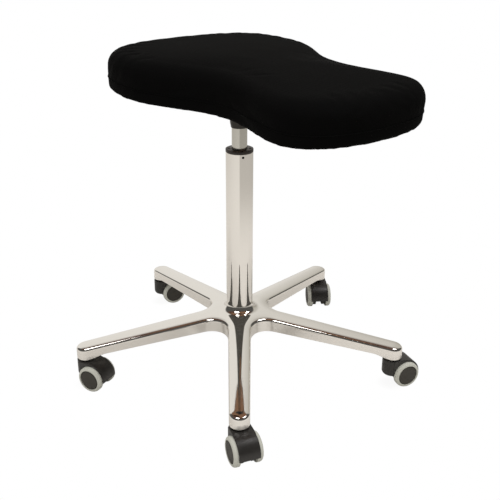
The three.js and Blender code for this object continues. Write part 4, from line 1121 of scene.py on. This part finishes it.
# Seat board: pressed plywood in the cushion's underside, sawn to the seat's outline and screwed to
# the plate from below.
SEAT_TURN = math.radians(-51.7)
SEAT_TILT = math.radians(2.8)
SEAT_UNDERSIDE = 0.5345  # on the column's axis
PLY_THICKNESS = 0.0017
PLY_SPAN = (0.4 * PLY_THICKNESS, 0.6 * PLY_THICKNESS)  # where one veneer's tone gives way to the next
BOARD_COLOUR = (0.34, 0.185, 0.105)
BOARD_SHADE = (0.2, 0.095, 0.05)
seat_place = turn(SEAT_TURN) @ Matrix.Translation((0, 0, SEAT_UNDERSIDE)) @ turn(SEAT_TILT, "Y")


def plywood_finish(light, dark):
    """Veneers laid across each other: bands on the sawn edge, long grain on the faces."""
    material, tree, shader = finish("plywood", roughness=0.62)
    across = seat_place.to_3x3() @ Vector((0, 0, 1))
    depth = vector_maths("DOT_PRODUCT", object_place(tree), across)
    bands = maths("PINGPONG", depth, PLY_THICKNESS)
    banded = mixed(map_range(bands, *PLY_SPAN), light, dark)
    grain = noise(tree, scale=30, detail=5, stretch=(1, 14, 1))
    tone = mixed(map_range(grain, *STREAK_SPAN, to_high=0.6), banded, dark)
    relief = bump(grain, distance=0.0003, strength=0.4)
    fed(shader, {"Base Color": tone, "Normal": relief})
    return material


edges_softened(PLATE_EDGE, plywood_finish(BOARD_COLOUR, BOARD_SHADE), "seat_board")

# Cushion: cut foam on the board, covered in black woven cloth that is drawn down over the edge. A
# welt is sewn in where the cover's top panel meets its side band.
PAD_VOXEL = 0.005
PAD_PRESSURE = 4
PAD_STEPS = 20
PAD_SWELL = 0.005  # the most that a point may move
PAD_HELD_HEIGHT = 0.003
PAD_FREE_HEIGHT = 0.02
PAD_SMOOTHING = 6
PAD_FULLNESS = 0.0018  # of the cover beyond its solid
PAD_CREASE_ROUNDS = 9  # more leave broader creases
PAD_BOARD_GAP = 0.0005
WELT_HEIGHT = 0.0205
WELT_RADIUS = 0.0011
RIB_PITCH = 0.005655
RIB_TURNS = ((0.4, 0.5, 0.8), (-0.5, 0.4, -0.8))  # radians, for the two sets of ribs
WAVE_RATE = 20  # radians for each metre, in Blender's wave texture at scale 1
CLOTH_COLOUR = (0.0016, 0.0016, 0.0016)
CLOTH_LIGHTER = (0.0022, 0.0021, 0.0021)


def woven_cloth(name, colour, lighter):
    """Twill: two sets of soft ribs that cross, with a faint unevenness of tone."""
    material, tree, shader = finish(name, roughness=0.85, specular=0.03)
    wave_scale = 2 * math.pi / (WAVE_RATE * RIB_PITCH)
    ribs = []
    for angles in RIB_TURNS:
        place = made(tree, "Mapping", {"Vector": object_place(tree), "Rotation": angles}).outputs[0]
        threads = made(tree, "TexWave", {"Vector": place, "Scale": wave_scale, "Distortion": 0.6})
        ribs.append(threads.outputs["Fac"])
    tone = mixed(noise(tree, scale=25, detail=3), colour, lighter)
    relief = bump(maths("MULTIPLY", *ribs), distance=0.0002, strength=0.5)
    fed(shader, {"Base Color": tone, "Normal": relief})
    return material


def swollen(pad, held, pressure, steps, most):
    """Cloth under pressure: held says how firmly each point is held, and none moves further than most."""
    start = [vert.co.copy() for vert in pad.data.vertices]
    group = pad.vertex_groups.new(name="held")
    for vert, share in zip(pad.data.vertices, held):
        group.add([vert.index], share, "REPLACE")
    only(pad)
    cloth = pad.modifiers.new("cloth", "CLOTH")
    cloth.settings.use_pressure = True
    cloth.settings.uniform_pressure_force = pressure
    cloth.settings.vertex_group_mass = group.name
    cloth.settings.effector_weights.gravity = 0
    cloth.point_cache.frame_end = steps
    for step in range(1, steps + 1):
        bpy.context.scene.frame_set(step)
    bpy.ops.object.modifier_apply(modifier="cloth")
    bpy.context.scene.frame_set(1)
    for vert, before in zip(pad.data.vertices, start):
        moved = vert.co - before
        if moved.length > 0:
            vert.co = before + moved * (most * math.tanh(moved.length / most) / moved.length)
    pad.vertex_groups.clear()


def brought_to_size(pad, solid, held, rounds):
    """Takes out the broad part of the pad's departure from its solid, and leaves creases and fullness."""
    pad.data.update()
    verts = pad.data.vertices
    ends = np.array([edge.vertices for edge in pad.data.edges]).T
    neighbours = np.bincount(ends.ravel(), minlength=len(verts))
    broad = []
    for vert in verts:
        nearest, normal, _, distance = solid.find_nearest(vert.co)
        broad.append(math.copysign(distance, (vert.co - nearest).dot(normal)))
    broad = np.array(broad)
    for _ in range(rounds):
        total = np.bincount(ends[0], weights=broad[ends[1]], minlength=len(verts))
        total += np.bincount(ends[1], weights=broad[ends[0]], minlength=len(verts))
        broad = (broad + total / neighbours) / 2
    broad -= PAD_FULLNESS * (1 - np.array(held))
    for vert, normal, share in zip(verts, [v.normal.copy() for v in verts], broad):
        vert.co -= normal * share


def surface_of(node):
    """Surface of one of the frame's solids, set straight as the seat is while it is made."""
    solid = bmesh.new()
    solid.from_mesh(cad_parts[node].data)
    solid.transform(seat_place.inverted())
    surface = BVHTree.FromBMesh(solid)
    solid.free()
    return surface


pad = copied(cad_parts["seat_cushion"], "padded_cover")
pad.parent = None
for key in list(pad.keys()):
    del pad[key]
pad.data.transform(seat_place.inverted())
turned_right_way(pad, weld=0.00001)
remesh = pad.modifiers.new("remesh", "REMESH")
remesh.mode = "VOXEL"
remesh.voxel_size = PAD_VOXEL
bpy.ops.object.modifier_apply(modifier="remesh")

board = surface_of("seat_board")
held = []
for vert in pad.data.vertices:
    free = share_of(vert.co.z, PAD_HELD_HEIGHT, PAD_FREE_HEIGHT)
    *_, to_board = board.find_nearest(vert.co)
    held.append(1.0 if to_board < PAD_VOXEL else 1 - free)
bpy.ops.object.mode_set(mode="EDIT")
bpy.ops.mesh.select_all(action="DESELECT")
shape = bmesh.from_edit_mesh(pad.data)
for vert, share in zip(shape.verts, held):
    vert.select = share < 0.5
shape.select_flush_mode()
bpy.ops.mesh.vertices_smooth(factor=0.5, repeat=PAD_SMOOTHING)
bpy.ops.object.mode_set(mode="OBJECT")
swollen(pad, held, PAD_PRESSURE, PAD_STEPS, PAD_SWELL)
brought_to_size(pad, surface_of("seat_cushion"), held, PAD_CREASE_ROUNDS)
only(pad)
levels = pad.modifiers.new("finer", "SUBSURF")
levels.levels = levels.render_levels = 1
bpy.ops.object.modifier_apply(modifier="finer")
for vert in pad.data.vertices:
    nearest, normal, _, distance = board.find_nearest(vert.co)
    side = (vert.co - nearest).dot(normal)
    if distance < 2 * PAD_VOXEL and side < PAD_BOARD_GAP:
        vert.co = nearest + normal * PAD_BOARD_GAP
bpy.ops.object.shade_smooth()

welt = copied(pad, "cover_welt")
edited_whole(welt)
bpy.ops.mesh.bisect(plane_co=(0, 0, WELT_HEIGHT), plane_no=(0, 0, 1), clear_inner=True, clear_outer=True)
bpy.ops.object.mode_set(mode="OBJECT")
bpy.ops.object.convert(target="CURVE")
welt.data.bevel_depth = WELT_RADIUS
welt.data.bevel_resolution = 2
bpy.ops.object.convert(target="MESH")
turned_right_way(welt, weld=0.00001)
bpy.ops.object.shade_smooth()

black_cloth = woven_cloth("black_cloth", CLOTH_COLOUR, CLOTH_LIGHTER)
for piece in (pad, welt):
    piece.data.transform(seat_place)
    dressed(piece, black_cloth, "seat", "black_upholstery", "seat_cushion")

# Seat screws: four pan-head screws with hexagon sockets hold the plate to the board.
SCREW_REACH = 0.074  # to the front and the rear
SCREW_OFFSET = 0.064  # to either side
SCREW_RADIUS = 0.003
SCREW_END = 0.009
SCREW_HEAD_RADIUS = 0.0056
SCREW_HEAD_FACE = -0.0036
SCREW_HEAD_HEIGHT = 0.0034
SCREW_HEAD_ROUND = 0.7 * SCREW_HEAD_HEIGHT
SCREW_POINT = 0.001
SCREW_KEY_RADIUS = 0.0023
SCREW_KEY_DEPTH = 0.002
screw_low = SCREW_HEAD_FACE - SCREW_HEAD_HEIGHT
screw = solid_piece(
    "seat_screw",
    [
        *lower_round(SCREW_HEAD_RADIUS, screw_low, SCREW_HEAD_ROUND, steps=8),
        (SCREW_HEAD_RADIUS, SCREW_HEAD_FACE),
        (SCREW_RADIUS, SCREW_HEAD_FACE),
        (SCREW_RADIUS, SCREW_END - SCREW_POINT),
        (SCREW_RADIUS - SCREW_POINT, SCREW_END),
    ],
    SMALL_SIDES,
)
keyed(screw, SCREW_KEY_RADIUS, screw_low, SCREW_KEY_DEPTH)
smoothed(screw)
for end, x in (("front", SCREW_REACH), ("rear", -SCREW_REACH)):
    for side, y in (("left", SCREW_OFFSET), ("right", -SCREW_OFFSET)):
        copy = copied(screw, f"plate_screw_{end}_{side}")
        copy.data.transform(seat_place @ Matrix.Translation((x, y, 0)))
        dressed(copy, plain_steel, "seat", "plain_steel", f"seat_screw_{end}_{side}")
bpy.data.objects.remove(screw)

bpy.ops.object.select_all(action="DESELECT")
